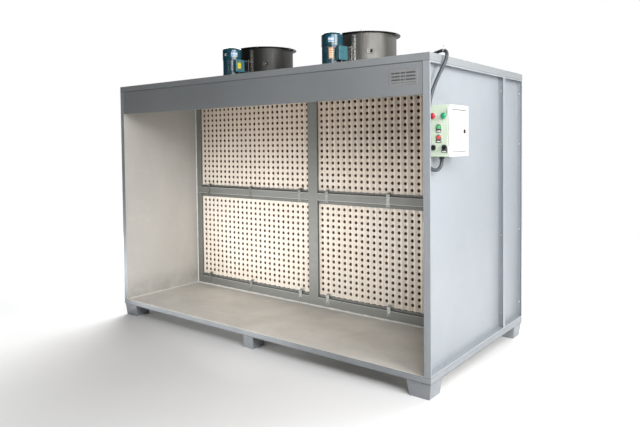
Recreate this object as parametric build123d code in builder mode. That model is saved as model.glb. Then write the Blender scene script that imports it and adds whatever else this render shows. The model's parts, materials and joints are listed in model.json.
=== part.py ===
from build123d import *
import math
import os

# Open-fronted dry-filter spray booth: a bolted sheet-metal cabinet whose rear plenum is drawn by
# two belt-driven axial fans on the roof through a wall of pleated cardboard filters.
# +Z is up, +Y points to the rear and +X to the right of a person facing the open front.
# The origin is the middle of the bounding box, on the ground. Millimetres.

# ---- driving dimensions -------------------------------------------------------------------
width = 3600  # over the two side walls
depth = 1800
height = 2400  # to the top of the roof
box_reach = 110  # how far the control box lock stands out of the right side
head_reach = 3.5  # rivet heads on the front and screw heads on the rear
sheet = 2

foot_height = 116
rail_height = 46
skirt = 55  # height of the roof trays' rim
tray = 50  # depth of the side wall trays
side_split = 1358  # front edge to the joint between the two side trays
header_bottom = 2116
roof_seams = (907, 2263)  # from the right side

filter_front = 965  # front edge of the booth to the face of the filter frame
pleat_pitch = 67.25
pleat_count = 24
mullion = 115
mid_rail = (1190, 1320)
bottom_rail_top = 280
top_rail_bottom = 2216

fan_distances = {"right": 1439, "left": 2811}  # fan axes, from the right side
fan_back = 1400  # fan axes, from the front edge
casing_r = 305
casing_top = 2855
casing_wall = 3
flange_r = 345
flange_thick = 6
duct_pitch_r = 326
duct_studs = 5
base_pitch_r = 331  # bolts that hold the casing's lower flange to the roof
base_bolt = 10
stud_r = 4
clinch_r = 4.45  # collar that holds a duct stud in the flange
stud_reach = 22
motor_turn = -10  # degrees; the motor stands this far to the left of straight ahead
motor_centre = 468  # fan axis to motor axis
motor_stand_off = 100  # motor axis to the face of its feet
fan_pulley_r = 62.5
motor_pulley_r = 50
belt_z = 2477

conduit_d = 26

right_x = (width - box_reach) / 2
left_x = right_x - width
middle_x = right_x - width / 2
front_y = -depth / 2
rear_y = depth / 2
rail_top = foot_height + rail_height
floor_top = rail_top + 3
skirt_bottom = height - skirt
panel_top = skirt_bottom

os.makedirs("parts", exist_ok=True)


# ---- helpers ------------------------------------------------------------------------------
def save(piece, name):
    """Labels a finished piece and writes it to its own STEP file."""
    piece.label = name
    export_step(piece, f"parts/{name}.step")


def save_group(pieces, name):
    """Writes several separate solids that touch as one node."""
    solids = [solid for piece in pieces for solid in piece.solids()]
    save(Compound(children=solids), name)


def from_right(distance):
    return right_x - distance


def from_front(distance):
    return front_y + distance


def block(x, y, z, mode=Mode.ADD):
    """Box between three (low, high) pairs, in the part being built."""
    sizes = [high - low for low, high in (x, y, z)]
    centre = tuple((high + low) / 2 for low, high in (x, y, z))
    with Locations(centre):
        Box(*sizes, mode=mode)


def rod(start, direction, radius, length, mode=Mode.ADD):
    """Round bar from a start point along a direction, in the part being built."""
    with Locations(Plane(origin=start, z_dir=direction)):
        Cylinder(radius, length, align=(Align.CENTER, Align.CENTER, Align.MIN), mode=mode)


def hex_bolt(start, direction, size, length, nut_at=None):
    """Hexagon bolt: the head stands out of start along direction, the shank goes the other way."""
    axis = Vector(*direction)
    seat = Vector(*start)
    head = Plane(origin=seat, z_dir=axis)
    with BuildSketch(head) as hexagon:
        RegularPolygon(size * 0.95, 6)
    extrude(hexagon.sketch, amount=size * 0.65)
    rod(seat, axis * -1, size / 2, length)
    if nut_at is not None:
        with BuildSketch(Plane(origin=seat - axis * nut_at, z_dir=axis * -1)) as nut:
            RegularPolygon(size * 0.95, 6)
        extrude(nut.sketch, amount=size * 0.8)


def pan_screw(start, direction, size, length):
    """Pan-head screw with a domed head standing out of start along direction."""
    axis = Vector(*direction)
    seat = Vector(*start)
    rod(seat, axis, size, size * 0.35)
    rod(seat + axis * size * 0.35, axis, size * 0.7, size * 0.3)
    rod(seat, axis * -1, size / 2, length)


# ---- base: feet, rails and floor ----------------------------------------------------------
foot_xs = [from_right(d) for d in (100, 1787, 3500)]
foot_ys = [from_front(d) for d in (94, depth - 94)]
foot_wall = 4
with BuildPart() as feet:
    for foot_x in foot_xs:
        for foot_y in foot_ys:
            middle = abs(foot_x - middle_x) < 200
            top = (116, 146) if middle else (192, 176)
            sole = (110, 140) if middle else (160, 154)
            for thin, mode in ((0, Mode.ADD), (foot_wall, Mode.SUBTRACT)):
                with BuildSketch(Plane.XY.offset(foot_height)):
                    with Locations((foot_x, foot_y)):
                        Rectangle(top[0] - 2 * thin, top[1] - 2 * thin)
                with BuildSketch(Plane.XY.offset(thin)):
                    with Locations((foot_x, foot_y)):
                        Rectangle(sole[0] - 2 * thin, sole[1] - 2 * thin)
                loft(mode=mode)
save(feet.part, "feet")

rail_width = 60
rail_wall = 3


def channel_rail(x, y):
    """Folded channel rail lying on the feet, closed on its sides and ends and open below."""
    block(x, y, (foot_height, rail_top))
    inner_x = (x[0] + rail_wall, x[1] - rail_wall)
    inner_y = (y[0] + rail_wall, y[1] - rail_wall)
    block(inner_x, inner_y, (foot_height, rail_top - rail_wall), mode=Mode.SUBTRACT)


bottom_bolt_ys = [from_front(d) for d in (279, 868, 1556)]
with BuildPart() as base_rails:
    for rail_x in (left_x, right_x - rail_width):
        channel_rail((rail_x, rail_x + rail_width), (front_y, rear_y))
    for rail_y in (front_y, from_front(1000), rear_y - rail_width):
        inside = (left_x + rail_width, right_x - rail_width)
        channel_rail(inside, (rail_y, rail_y + rail_width))
    for rail_y in bottom_bolt_ys:
        for side_x in (right_x - tray / 2, left_x + tray / 2):
            rod((side_x, rail_y, rail_top + 1), (0, 0, -1), 4.5, 8, mode=Mode.SUBTRACT)
save(base_rails.part, "base_rails")

with BuildPart() as floor_pan:
    block(
        (left_x + tray + sheet, right_x - tray - sheet),
        (front_y, rear_y - sheet),
        (rail_top, floor_top),
    )
save(floor_pan.part, "floor_pan")

# ---- side walls: trays with outward flanges and return lips -------------------------------
joint_bolt_zs = (302, 979, 1766, 2225)
frame_screw_zs = (299, 1111, 1732, 2217)
wall_x = right_x - tray  # outer face of the side wall sheet
foot_flange = 15  # height of the tray's turned-down foot flange
head_lip = 11
box_bolt_spots = [(from_front(y), z) for y in (112, 360) for z in (1730, 2000)]


def side_tray(y0, y1, front_lip, rear_lip, screw_zs=(), extra_holes=()):
    """Right-hand side wall tray from y0 to y1: a sheet with flanges turned outwards."""
    with BuildPart() as side:
        block((wall_x - sheet, right_x), (y0, y1), (rail_top, panel_top))
        inside_y = (y0 + sheet, y1 - sheet)
        inside_z = (rail_top + foot_flange, panel_top - sheet)
        block((wall_x, right_x - sheet), inside_y, inside_z, Mode.SUBTRACT)
        window_y = (y0 + front_lip, y1 - rear_lip)
        window_z = (rail_top + foot_flange, panel_top - head_lip)
        block((right_x - sheet, right_x), window_y, window_z, Mode.SUBTRACT)
        block((wall_x, right_x - sheet), inside_y, (rail_top, rail_top + foot_flange - sheet), Mode.SUBTRACT)
        for bolt_y in bottom_bolt_ys:
            if y0 < bolt_y < y1:
                top = (right_x - tray / 2, bolt_y, rail_top + foot_flange + 1)
                rod(top, (0, 0, -1), 4.5, 5, mode=Mode.SUBTRACT)
        for bolt_z in joint_bolt_zs:
            start = (right_x - tray / 2, y1 + 1, bolt_z)
            rod(start, (0, -1, 0), 4.5, 4, mode=Mode.SUBTRACT)
            if y0 > front_y:
                start = (right_x - tray / 2, y0 - 1, bolt_z)
                rod(start, (0, 1, 0), 4.5, 4, mode=Mode.SUBTRACT)
        for screw_z in screw_zs:
            start = (wall_x + 1, from_front(1005), screw_z)
            rod(start, (-1, 0, 0), 3, 4, mode=Mode.SUBTRACT)
        for hole_y, hole_z in extra_holes:
            rod((wall_x + 1, hole_y, hole_z), (-1, 0, 0), 4.5, 4, mode=Mode.SUBTRACT)
    return side.part


mirror_plane = Plane.YZ.offset(middle_x)
joint_y = from_front(side_split)
front_tray = side_tray(front_y, joint_y, 13, 22, frame_screw_zs)
rear_tray = side_tray(joint_y, rear_y, 22, 13)
box_side_tray = side_tray(front_y, joint_y, 13, 22, frame_screw_zs, box_bolt_spots)
save(box_side_tray, "side_panel_right_front")
save(rear_tray, "side_panel_right_rear")
save(mirror(front_tray, about=mirror_plane), "side_panel_left_front")
save(mirror(rear_tray, about=mirror_plane), "side_panel_left_rear")

# ---- rear wall: three trays with flanges turned into the plenum ---------------------------
rear_depth = 40
inner_right = wall_x - sheet
inner_left = left_x + tray + sheet
rear_screw_zs = (420, 1250, 2080)
rear_count = 3
rear_width = (inner_right - inner_left) / rear_count
rear_screw_spots = []
with BuildPart() as rear_panels:
    for index in range(rear_count):
        x0 = inner_left + index * rear_width + 0.5
        x1 = x0 + rear_width - 1
        z = (floor_top, panel_top - 1)
        block((x0, x1), (rear_y - rear_depth, rear_y), z)
        inner_z = (z[0] + sheet, z[1] - sheet)
        block((x0 + sheet, x1 - sheet), (rear_y - rear_depth, rear_y - sheet), inner_z, Mode.SUBTRACT)
        for screw_z in rear_screw_zs:
            for screw_x in (x0 + 20, x1 - 20):
                rear_screw_spots.append((screw_x, screw_z))
    for screw_x, screw_z in rear_screw_spots:
        rod((screw_x, rear_y + 1, screw_z), (0, -1, 0), 2.7, 4, mode=Mode.SUBTRACT)
save(rear_panels.part, "rear_panels")

# ---- roof: three trays, the left two with a fan opening -----------------------------------
fan_y = from_front(fan_back)
roof_edges = [right_x, from_right(roof_seams[0]), from_right(roof_seams[1]), left_x]
roof_fans = {"right": None, "middle": "right", "left": "left"}
fan_bolt_count = 8
for index, (place, fan_side) in enumerate(roof_fans.items()):
    x1 = roof_edges[index] - (0.5 if index else 0)
    x0 = roof_edges[index + 1] + (0.5 if index < 2 else 0)
    with BuildPart() as roof:
        block((x0, x1), (front_y, rear_y), (skirt_bottom, height))
        inner_y = (front_y + sheet, rear_y - sheet)
        block((x0 + sheet, x1 - sheet), inner_y, (skirt_bottom, height - sheet), Mode.SUBTRACT)
        if fan_side:
            fan_x = from_right(fan_distances[fan_side])
            rod((fan_x, fan_y, height - 5), (0, 0, 1), casing_r - casing_wall, 6, mode=Mode.SUBTRACT)
            with Locations((fan_x, fan_y, height - 5)):
                with PolarLocations(base_pitch_r, fan_bolt_count, 22.5):
                    Cylinder(base_bolt / 2 + 0.5, 20, mode=Mode.SUBTRACT)
    save(roof.part, f"roof_panel_{place}")

# ---- header over the open front, with its nameplate ---------------------------------------
header_depth = 40
plate_x = (from_right(315), from_right(93))
plate_z = (2192, 2300)
plate_thick = 1.5
rivet_inset = 9
rivet_spots = [(x, z) for x in (plate_x[0] + rivet_inset, plate_x[1] - rivet_inset)
               for z in (plate_z[0] + rivet_inset, plate_z[1] - rivet_inset)]
with BuildPart() as header:
    header_x = (inner_left + 1, inner_right - 1)
    header_z = (header_bottom, panel_top - 1)
    block(header_x, (front_y, front_y + header_depth), header_z)
    inner_x = (header_x[0] + sheet, header_x[1] - sheet)
    inner_z = (header_z[0] + sheet, header_z[1] - sheet)
    cavity_y = (front_y + sheet, front_y + header_depth - sheet)
    block(inner_x, cavity_y, inner_z, Mode.SUBTRACT)
    lip = 16
    lip_z = (inner_z[0] + lip, inner_z[1] - lip)
    block(inner_x, (cavity_y[1], front_y + header_depth), lip_z, Mode.SUBTRACT)
    for rivet_x, rivet_z in rivet_spots:
        rod((rivet_x, front_y - 1, rivet_z), (0, 1, 0), 2, 5, mode=Mode.SUBTRACT)
save(header.part, "header_panel")

with BuildPart() as nameplate:
    block(plate_x, (front_y - plate_thick, front_y), plate_z)
    for rivet_x, rivet_z in rivet_spots:
        rod((rivet_x, front_y - 3, rivet_z), (0, 1, 0), 2, 5, mode=Mode.SUBTRACT)
save(nameplate.part, "nameplate")

# ---- filter wall --------------------------------------------------------------------------
frame_depth = 60
frame_y = (from_front(filter_front), from_front(filter_front + frame_depth))
ledge_y = frame_y[0] + 20
mullion_x = (middle_x - mullion / 2, middle_x + mullion / 2)
filter_width = pleat_pitch * pleat_count
jamb_right_x = (mullion_x[1] + filter_width + 1, inner_right)
jamb_left_x = (inner_left, mullion_x[0] - filter_width - 1)
bay_xs = [(jamb_left_x[1], mullion_x[0]), (mullion_x[1], jamb_right_x[0])]


def rail_outline(z0, z1, face_z0, face_z1):
    """Side profile of a filter rail: a raised face between two set-back ledges."""
    return [
        (frame_y[1], z0),
        (ledge_y, z0),
        (ledge_y, face_z0),
        (frame_y[0], face_z0),
        (frame_y[0], face_z1),
        (ledge_y, face_z1),
        (ledge_y, z1),
        (frame_y[1], z1),
    ]


with BuildPart() as filter_frame:
    for stile_x in (jamb_left_x, mullion_x, jamb_right_x):
        stile_z = (floor_top, panel_top - 3)
        block(stile_x, frame_y, stile_z)
        hollow_x = (stile_x[0] + sheet, stile_x[1] - sheet)
        hollow_y = (frame_y[0] + sheet, frame_y[1] - sheet)
        block(hollow_x, hollow_y, stile_z, Mode.SUBTRACT)
    for bay_x in bay_xs:
        for outline in (
            rail_outline(mid_rail[0], mid_rail[1], 1225, 1298),
            rail_outline(floor_top, bottom_rail_top, floor_top + 1, 258),
            rail_outline(top_rail_bottom, panel_top - 3, 2238, panel_top - 4),
        ):
            with BuildSketch(Plane.YZ.offset(bay_x[0])) as rail:
                with BuildLine():
                    Polyline(*outline, close=True)
                make_face()
                offset(amount=-sheet, mode=Mode.SUBTRACT)
            extrude(amount=bay_x[1] - bay_x[0])
    for screw_z in frame_screw_zs:
        for start, way in (((inner_right + 1), -1), ((inner_left - 1), 1)):
            rod((start, from_front(1005), screw_z), (way, 0, 0), 2.7, 5, mode=Mode.SUBTRACT)
save(filter_frame.part, "filter_frame")

pleat_front = from_front(990)
pleat_rise = 22
board = 1.6
backing_front = pleat_front + 30  # front and rear folds of the second sheet
backing_rear = pleat_front + 57


def zigzag(x0, near_y, far_y):
    """Pleated cardboard sheet seen from above: a zigzag band as thick as the board."""
    front_edge = []
    for fold in range(2 * pleat_count + 1):
        fold_x = x0 + fold * pleat_pitch / 2
        front_edge.append((fold_x, near_y if fold % 2 else far_y))
    back_edge = [(x, y + board) for x, y in reversed(front_edge)]
    return front_edge + back_edge


filter_zs = {"lower": (bottom_rail_top + 1, mid_rail[0] - 1), "upper": (mid_rail[1] + 1, top_rail_bottom - 1)}
filter_xs = {"left": bay_xs[0][0] + 0.5, "right": bay_xs[1][0] + 0.5}
for level, (z0, z1) in filter_zs.items():
    for side, x0 in filter_xs.items():
        with BuildPart() as pleats:
            with BuildSketch(Plane.XY.offset(z0)):
                with BuildLine():
                    Polyline(*zigzag(x0, pleat_front + pleat_rise, pleat_front), close=True)
                make_face()
                with BuildLine():
                    Polyline(*zigzag(x0, backing_rear, backing_front), close=True)
                make_face()
            extrude(amount=z1 - z0)
            for end_x in (x0, x0 + filter_width - board):
                block((end_x, end_x + board), (pleat_front, backing_front + board), (z0, z1))
        save(pleats.part, f"filter_{level}_{side}")

# clips that hold the filters' edges, one screw each, on the middle and bottom rails
clip_offsets = (175, 875, 1540)
clip_xs = [middle_x + sign * offset_x for offset_x in clip_offsets for sign in (-1, 1)]
clip_width = 38
clip_spots = []
with BuildPart() as filter_clips:
    face_y = frame_y[0]
    for clip_x in clip_xs:
        x = (clip_x - clip_width / 2, clip_x + clip_width / 2)
        for z0, z1, screw_z in ((1202, 1322, 1262), (205, 296, 232)):
            block(x, (face_y - sheet, face_y), (z0, z1))
            block(x, (face_y, pleat_front - 2), (z1 - sheet, z1))
            block(x, (pleat_front - 2 - sheet, pleat_front - 2), (z1, z1 + 14))
            block((clip_x - 3, clip_x + 3), (face_y - 8, face_y - sheet), (z0, z0 + 18))
            rod((clip_x, face_y - 5, screw_z + 12), (0, 1, 0), 3, 10, mode=Mode.SUBTRACT)
            clip_spots.append((clip_x, screw_z + 12))
save(filter_clips.part, "filter_clips")

# ---- fans ---------------------------------------------------------------------------------
strut_z = (2526, 2576)
bearing_housing_r = 44
weld_gap = 0.05
bearing_r = 31
fan_shaft_r = 15
guard_z = (2440, 2516)
guard_r = 90
guard_half = 78
bar_x = 127  # angle bars and draw rods, either side of the motor
bar_front = -330
plate_y = (-motor_centre + motor_stand_off, -motor_centre + motor_stand_off + 10)
rod_inset = 15
rod_zs = (2575, 2692)
boss_angle = -47.5
boss_z = 2671
impeller_z = (2600, 2690)
hub_r = 85
tip_r = 296
blade_count = 6


def fan_plane(x, z=0):
    """Level plane on a fan's axis, with its -Y towards the motor."""
    turn = math.radians(motor_turn)
    return Plane(origin=(x, fan_y, z), x_dir=(math.cos(turn), math.sin(turn), 0), z_dir=(0, 0, 1))


def local_block(x, fx, fy, fz, mode=Mode.ADD):
    """Box between three (low, high) pairs in a fan's own frame."""
    with BuildSketch(fan_plane(x, fz[0])) as outline:
        with Locations(((fx[0] + fx[1]) / 2, (fy[0] + fy[1]) / 2)):
            Rectangle(fx[1] - fx[0], fy[1] - fy[0])
    extrude(outline.sketch, amount=fz[1] - fz[0], mode=mode)


def local_disc(x, centre, fz, radius, bore=0, mode=Mode.ADD):
    """Disc or ring about a vertical axis in a fan's own frame."""
    with BuildSketch(fan_plane(x, fz[0])) as outline:
        with Locations(centre):
            Circle(radius)
            if bore:
                Circle(bore, mode=Mode.SUBTRACT)
    extrude(outline.sketch, amount=fz[1] - fz[0], mode=mode)


def local_point(x, fx, fy, z):
    """Point of a fan's own frame in the booth's frame."""
    return fan_plane(x).from_local_coords(Vector(fx, fy, z))


def local_way(fx, fy):
    """Horizontal direction of a fan's own frame in the booth's frame."""
    turn = math.radians(motor_turn)
    return (fx * math.cos(turn) - fy * math.sin(turn), fx * math.sin(turn) + fy * math.cos(turn), 0)


def fan_casing(x):
    """Welded duct tube: flanges, motor bars and the oval boss."""
    with BuildPart() as casing:
        local_disc(x, (0, 0), (height, casing_top), casing_r, casing_r - casing_wall)
        for z0 in (height, casing_top - flange_thick):
            local_disc(x, (0, 0), (z0, z0 + flange_thick), flange_r, casing_r - casing_wall)
        for side in (-1, 1):
            web = sorted((side * (bar_x - 3), side * (bar_x + 3)))
            leg = sorted((side * (bar_x - 3), side * (bar_x + 26)))
            local_block(x, web, (bar_front, -274), (guard_z[1] + 6, 2826))
            local_block(x, leg, (bar_front, bar_front + 5), (guard_z[1] + 6, 2826))
            for hole_z in rod_zs:
                start = local_point(x, side * (bar_x + rod_inset), bar_front - 1, hole_z)
                rod(start, local_way(0, 1), 6.5, 8, mode=Mode.SUBTRACT)
        turn = math.radians(boss_angle)
        out = Vector(math.cos(turn), math.sin(turn), 0)
        pad_centre = Vector(x, fan_y, boss_z) + out * (casing_r + 5)
        with BuildSketch(Plane(origin=pad_centre, x_dir=(-out.Y, out.X, 0), z_dir=out)) as pad:
            SlotOverall(92, 52)
        extrude(pad.sketch, amount=-9)
        rod(pad_centre + out, out * -1, 17, 14, mode=Mode.SUBTRACT)
        slot_x = (-guard_half - 1, guard_half + 1)
        slot_z = (guard_z[0] - 1, guard_z[1] + 1)
        local_block(x, slot_x, (-casing_r - 5, -casing_r + 25), slot_z, mode=Mode.SUBTRACT)
        with BuildSketch(fan_plane(x, height)) as low_holes:
            with PolarLocations(base_pitch_r, fan_bolt_count, 22.5 - motor_turn):
                Circle(base_bolt / 2 + 0.5)
        extrude(low_holes.sketch, amount=flange_thick, mode=Mode.SUBTRACT)
        with BuildSketch(fan_plane(x, casing_top - flange_thick)) as top_holes:
            with PolarLocations(duct_pitch_r, duct_studs, 18):
                Circle(stud_r + 0.5)
        extrude(top_holes.sketch, amount=flange_thick, mode=Mode.SUBTRACT)
    return casing.part


def bearing_spider(x):
    """Bearing housing on four struts, welded inside the casing."""
    strut_ends = (bearing_housing_r - 4, casing_r - casing_wall - weld_gap)
    with BuildPart() as spider:
        with BuildSketch(fan_plane(x, strut_z[0])):
            Circle(bearing_housing_r)
            with PolarLocations(sum(strut_ends) / 2, 4, 45):
                Rectangle(strut_ends[1] - strut_ends[0], 6)
            Circle(bearing_r, mode=Mode.SUBTRACT)
        extrude(amount=strut_z[1] - strut_z[0])
    return spider.part


def impeller(x):
    """Hub with twisted blades, bored for the shaft."""
    with BuildPart() as wheel:
        local_disc(x, (0, 0), impeller_z, hub_r)
        fillet(wheel.edges().group_by(Axis.Z)[-1], 12)
        for index in range(blade_count):
            around = math.radians(index * 360 / blade_count)
            radial = Vector(math.cos(around), math.sin(around), 0)
            tangent = Vector(-radial.Y, radial.X, 0)
            for radius, pitch, chord in ((hub_r - 4, 52, 100), (tip_r - 2, 28, 130)):
                lean = math.radians(pitch)
                chord_way = tangent * math.cos(lean) + Vector(0, 0, math.sin(lean))
                centre = Vector(x, fan_y, sum(impeller_z) / 2) + radial * radius
                with BuildSketch(Plane(origin=centre, x_dir=chord_way, z_dir=radial)):
                    Rectangle(chord, 5)
            loft()
        local_disc(x, (0, 0), impeller_z, fan_shaft_r, mode=Mode.SUBTRACT)
    return wheel.part


def pulley(x, centre, pitch_r, bore):
    """Single-groove V-belt pulley."""
    half = 15
    with BuildPart() as wheel:
        local_disc(x, centre, (belt_z - half, belt_z + half), pitch_r + 6, bore)
        middle = local_point(x, centre[0], centre[1], belt_z)
        along = local_way(1, 0)
        with BuildSketch(Plane(origin=middle, x_dir=along, z_dir=local_way(0, -1))) as groove:
            with BuildLine():
                root, rim = pitch_r - 6, pitch_r + 7
                Polyline((root, -4.9), (rim, -9.3), (rim, 9.3), (root, 4.9), close=True)
            make_face()
        axis = Axis(middle, (0, 0, 1))
        revolve(groove.sketch, axis=axis, mode=Mode.SUBTRACT)
    return wheel.part


def fan_shaft(x):
    """Impeller shaft with its pulley keyed on the lower end."""
    with BuildPart() as shaft:
        local_disc(x, (0, 0), (2450, 2704), fan_shaft_r)
        local_disc(x, (0, 0), (2521, 2525), fan_shaft_r + 4)
    return [shaft.part, pulley(x, (0, 0), fan_pulley_r, fan_shaft_r)]


def drive_belt(x):
    """V-belt round both pulleys."""
    far = -motor_centre
    lean = math.asin((fan_pulley_r - motor_pulley_r) / motor_centre)
    along_x = math.cos(lean)
    along_y = -math.sin(lean)
    fan_right = (fan_pulley_r * along_x, fan_pulley_r * along_y)
    motor_right = (motor_pulley_r * along_x, far + motor_pulley_r * along_y)
    fan_left = (-fan_right[0], fan_right[1])
    motor_left = (-motor_right[0], motor_right[1])
    with BuildPart() as belt:
        with BuildLine(fan_plane(x, belt_z)) as path:
            Line(motor_right, fan_right)
            ThreePointArc(fan_right, (0, fan_pulley_r), fan_left)
            Line(fan_left, motor_left)
            ThreePointArc(motor_left, (0, far - motor_pulley_r), motor_right)
        with BuildSketch(Plane(origin=path.wire() @ 0, x_dir=(0, 0, 1), z_dir=path.wire() % 0)):
            with BuildLine():
                Polyline((-5, -4.5), (5, -4.5), (7.6, 3.5), (-7.6, 3.5), close=True)
            make_face()
        sweep(transition=Transition.RIGHT)
    return belt.part


def belt_guard(x):
    """Closed sheet housing round the belt, from the fan's hub out through the casing wall."""
    def outline(shrink):
        with BuildSketch() as shape:
            Circle(guard_r - shrink)
            with Locations((0, -motor_centre)):
                Circle(guard_half - shrink)
            with Locations((0, -motor_centre / 2)):
                Rectangle(2 * (guard_half - shrink), motor_centre)
        return shape.sketch

    with BuildPart() as guard:
        extrude(fan_plane(x, guard_z[0]) * outline(0), amount=guard_z[1] - guard_z[0])
        inner = fan_plane(x, guard_z[0] + 2) * outline(2)
        extrude(inner, amount=guard_z[1] - guard_z[0] - 4, mode=Mode.SUBTRACT)
        local_disc(x, (0, 0), (guard_z[1] - 4, guard_z[1] + 1), 24, mode=Mode.SUBTRACT)
        local_disc(x, (0, -motor_centre), (guard_z[1] - 4, guard_z[1] + 1), 24, mode=Mode.SUBTRACT)
    return guard.part


foot_face = -motor_centre + 84  # front of the motor's feet
foot_bolt = 10
foot_hole_x = 80
foot_hole_zs = (2590, 2690)


def motor_mount(x):
    """Plate that carries the motor; draw rods at its corners set the belt tension."""
    with BuildPart() as plate:
        local_block(x, (-160, 160), plate_y, (2536, 2708))
        for side in (-1, 1):
            for hole_z in rod_zs:
                start = local_point(x, side * (bar_x + rod_inset), plate_y[0] - 1, hole_z)
                rod(start, local_way(0, 1), 6.5, 12, mode=Mode.SUBTRACT)
            for hole_z in foot_hole_zs:
                start = local_point(x, side * foot_hole_x, plate_y[0] - 1, hole_z)
                rod(start, local_way(0, 1), foot_bolt / 2 + 0.5, 12, mode=Mode.SUBTRACT)
    return plate.part


motor_spot = (0, -motor_centre)
motor_shaft_r = 14
motor_bearing_r = 23
frame_z = (2545, 2722)


def motor_frame(x):
    """Finned motor housing with end shield, feet and terminal box neck, hollow for the rotor."""
    with BuildPart() as frame:
        with BuildSketch(fan_plane(x, frame_z[0])):
            with Locations(motor_spot):
                Circle(88)
            with Locations(motor_spot):
                with PolarLocations(93, 36):
                    Rectangle(14, 3.2)
        extrude(amount=frame_z[1] - frame_z[0])
        local_disc(x, motor_spot, (2526, frame_z[0]), 97)
        local_disc(x, motor_spot, (2519, 2526), 42)
        for foot_z in foot_hole_zs:
            foot_span = (foot_z - 18, foot_z + 18)
            local_block(x, (-96, 96), (foot_face, plate_y[0]), foot_span)
            local_block(x, (-60, 60), (foot_face - 24, foot_face + 2), foot_span)
            for side in (-1, 1):
                start = local_point(x, side * foot_hole_x, plate_y[0] + 1, foot_z)
                rod(start, local_way(0, -1), foot_bolt / 2 + 0.5, 30, mode=Mode.SUBTRACT)
        local_block(x, (80, 104), (-motor_centre - 38, -motor_centre + 38), (2590, 2684))
        local_disc(x, motor_spot, (2544, frame_z[1] - 12), 56, mode=Mode.SUBTRACT)
        local_disc(x, motor_spot, (2510, frame_z[1] + 1), motor_bearing_r, mode=Mode.SUBTRACT)
    return frame.part


def motor_rotor(x):
    """Motor shaft with rotor core, cooling fan and the belt pulley on its lower end."""
    with BuildPart() as shaft:
        local_disc(x, motor_spot, (2458, 2795), motor_shaft_r)
        local_disc(x, motor_spot, (2560, 2705), 54)
        local_disc(x, motor_spot, (2745, 2750), 84)
        with BuildSketch(fan_plane(x, 2750)) as vanes:
            with Locations(motor_spot):
                with PolarLocations(48, 8):
                    Rectangle(66, 4)
        extrude(vanes.sketch, amount=34)
    return [shaft.part, pulley(x, motor_spot, motor_pulley_r, motor_shaft_r)]


cowl_z = (2712, 2836)
cowl_r = 105


def motor_cowl(x):
    """Cooling fan cowl with a rounded crown and a slotted air grille."""
    with BuildPart() as cowl:
        local_disc(x, motor_spot, cowl_z, cowl_r)
        rim = cowl.faces().sort_by(Axis.Z)[-1].edges()
        fillet(rim, 26)
        offset(amount=-1.8, openings=cowl.faces().sort_by(Axis.Z)[0], kind=Kind.INTERSECTION)
        for radius, count in ((28, 8), (46, 12), (64, 18)):
            with BuildSketch(fan_plane(x, cowl_z[1] - 10)) as slots:
                with Locations(motor_spot):
                    with PolarLocations(radius, count):
                        SlotOverall(13, 6)
            extrude(slots.sketch, amount=20, mode=Mode.SUBTRACT)
    return cowl.part


terminal_y = (-motor_centre - 54, -motor_centre + 54)
terminal_x = (104.5, 152)
terminal_z = (2572, 2698)
lead_spot = (123, -motor_centre)


def terminal_box(x):
    """Motor terminal box with a screwed lid on its outer face."""
    with BuildPart() as body:
        local_block(x, (terminal_x[0], terminal_x[1] - 9), terminal_y, terminal_z)
        hollow_y = (terminal_y[0] + 5, terminal_y[1] - 5)
        hollow_z = (terminal_z[0] + 5, terminal_z[1] - 5)
        local_block(x, (terminal_x[0] + 5, terminal_x[1] - 9), hollow_y, hollow_z, mode=Mode.SUBTRACT)
        entry = local_point(x, lead_spot[0], lead_spot[1], terminal_z[0] - 1)
        rod(entry, (0, 0, 1), 10, 8, mode=Mode.SUBTRACT)
    with BuildPart() as lid:
        grow_y = (terminal_y[0] - 2, terminal_y[1] + 2)
        grow_z = (terminal_z[0] - 2, terminal_z[1] + 2)
        local_block(x, (terminal_x[1] - 9, terminal_x[1]), grow_y, grow_z)
        top_face = lid.faces().sort_by(Axis(local_point(x, 0, 0, 0), local_way(1, 0)))[-1]
        fillet(top_face.edges(), 4)
        for lid_y in (grow_y[0] + 10, grow_y[1] - 10):
            for lid_z in (grow_z[0] + 10, grow_z[1] - 10):
                start = local_point(x, terminal_x[1] - 1, lid_y, lid_z)
                rod(start, local_way(1, 0), 4, 3.5)
    return [body.part, lid.part]


for fan_side, distance in fan_distances.items():
    fan_x = from_right(distance)
    save(fan_casing(fan_x), f"fan_casing_{fan_side}")
    save(impeller(fan_x), f"impeller_{fan_side}")
    save_group(fan_shaft(fan_x), f"fan_shaft_{fan_side}")
    save(drive_belt(fan_x), f"drive_belt_{fan_side}")
    save(belt_guard(fan_x), f"belt_guard_{fan_side}")
    save(motor_mount(fan_x), f"motor_mount_{fan_side}")
    save(motor_frame(fan_x), f"motor_frame_{fan_side}")
    save(motor_cowl(fan_x), f"motor_cowl_{fan_side}")
    save_group(motor_rotor(fan_x), f"motor_rotor_{fan_side}")
    save_group(terminal_box(fan_x), f"terminal_box_{fan_side}")

with BuildPart() as bearings:
    for distance in fan_distances.values():
        for z0 in (strut_z[0] + 3, strut_z[1] - 19):
            local_disc(from_right(distance), (0, 0), (z0, z0 + 16), bearing_r, fan_shaft_r + 0.05)
        for z0 in (2526, frame_z[1] - 11):
            local_disc(from_right(distance), motor_spot, (z0, z0 + 10), motor_bearing_r, motor_shaft_r + 0.05)
save(bearings.part, "bearings")

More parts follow.
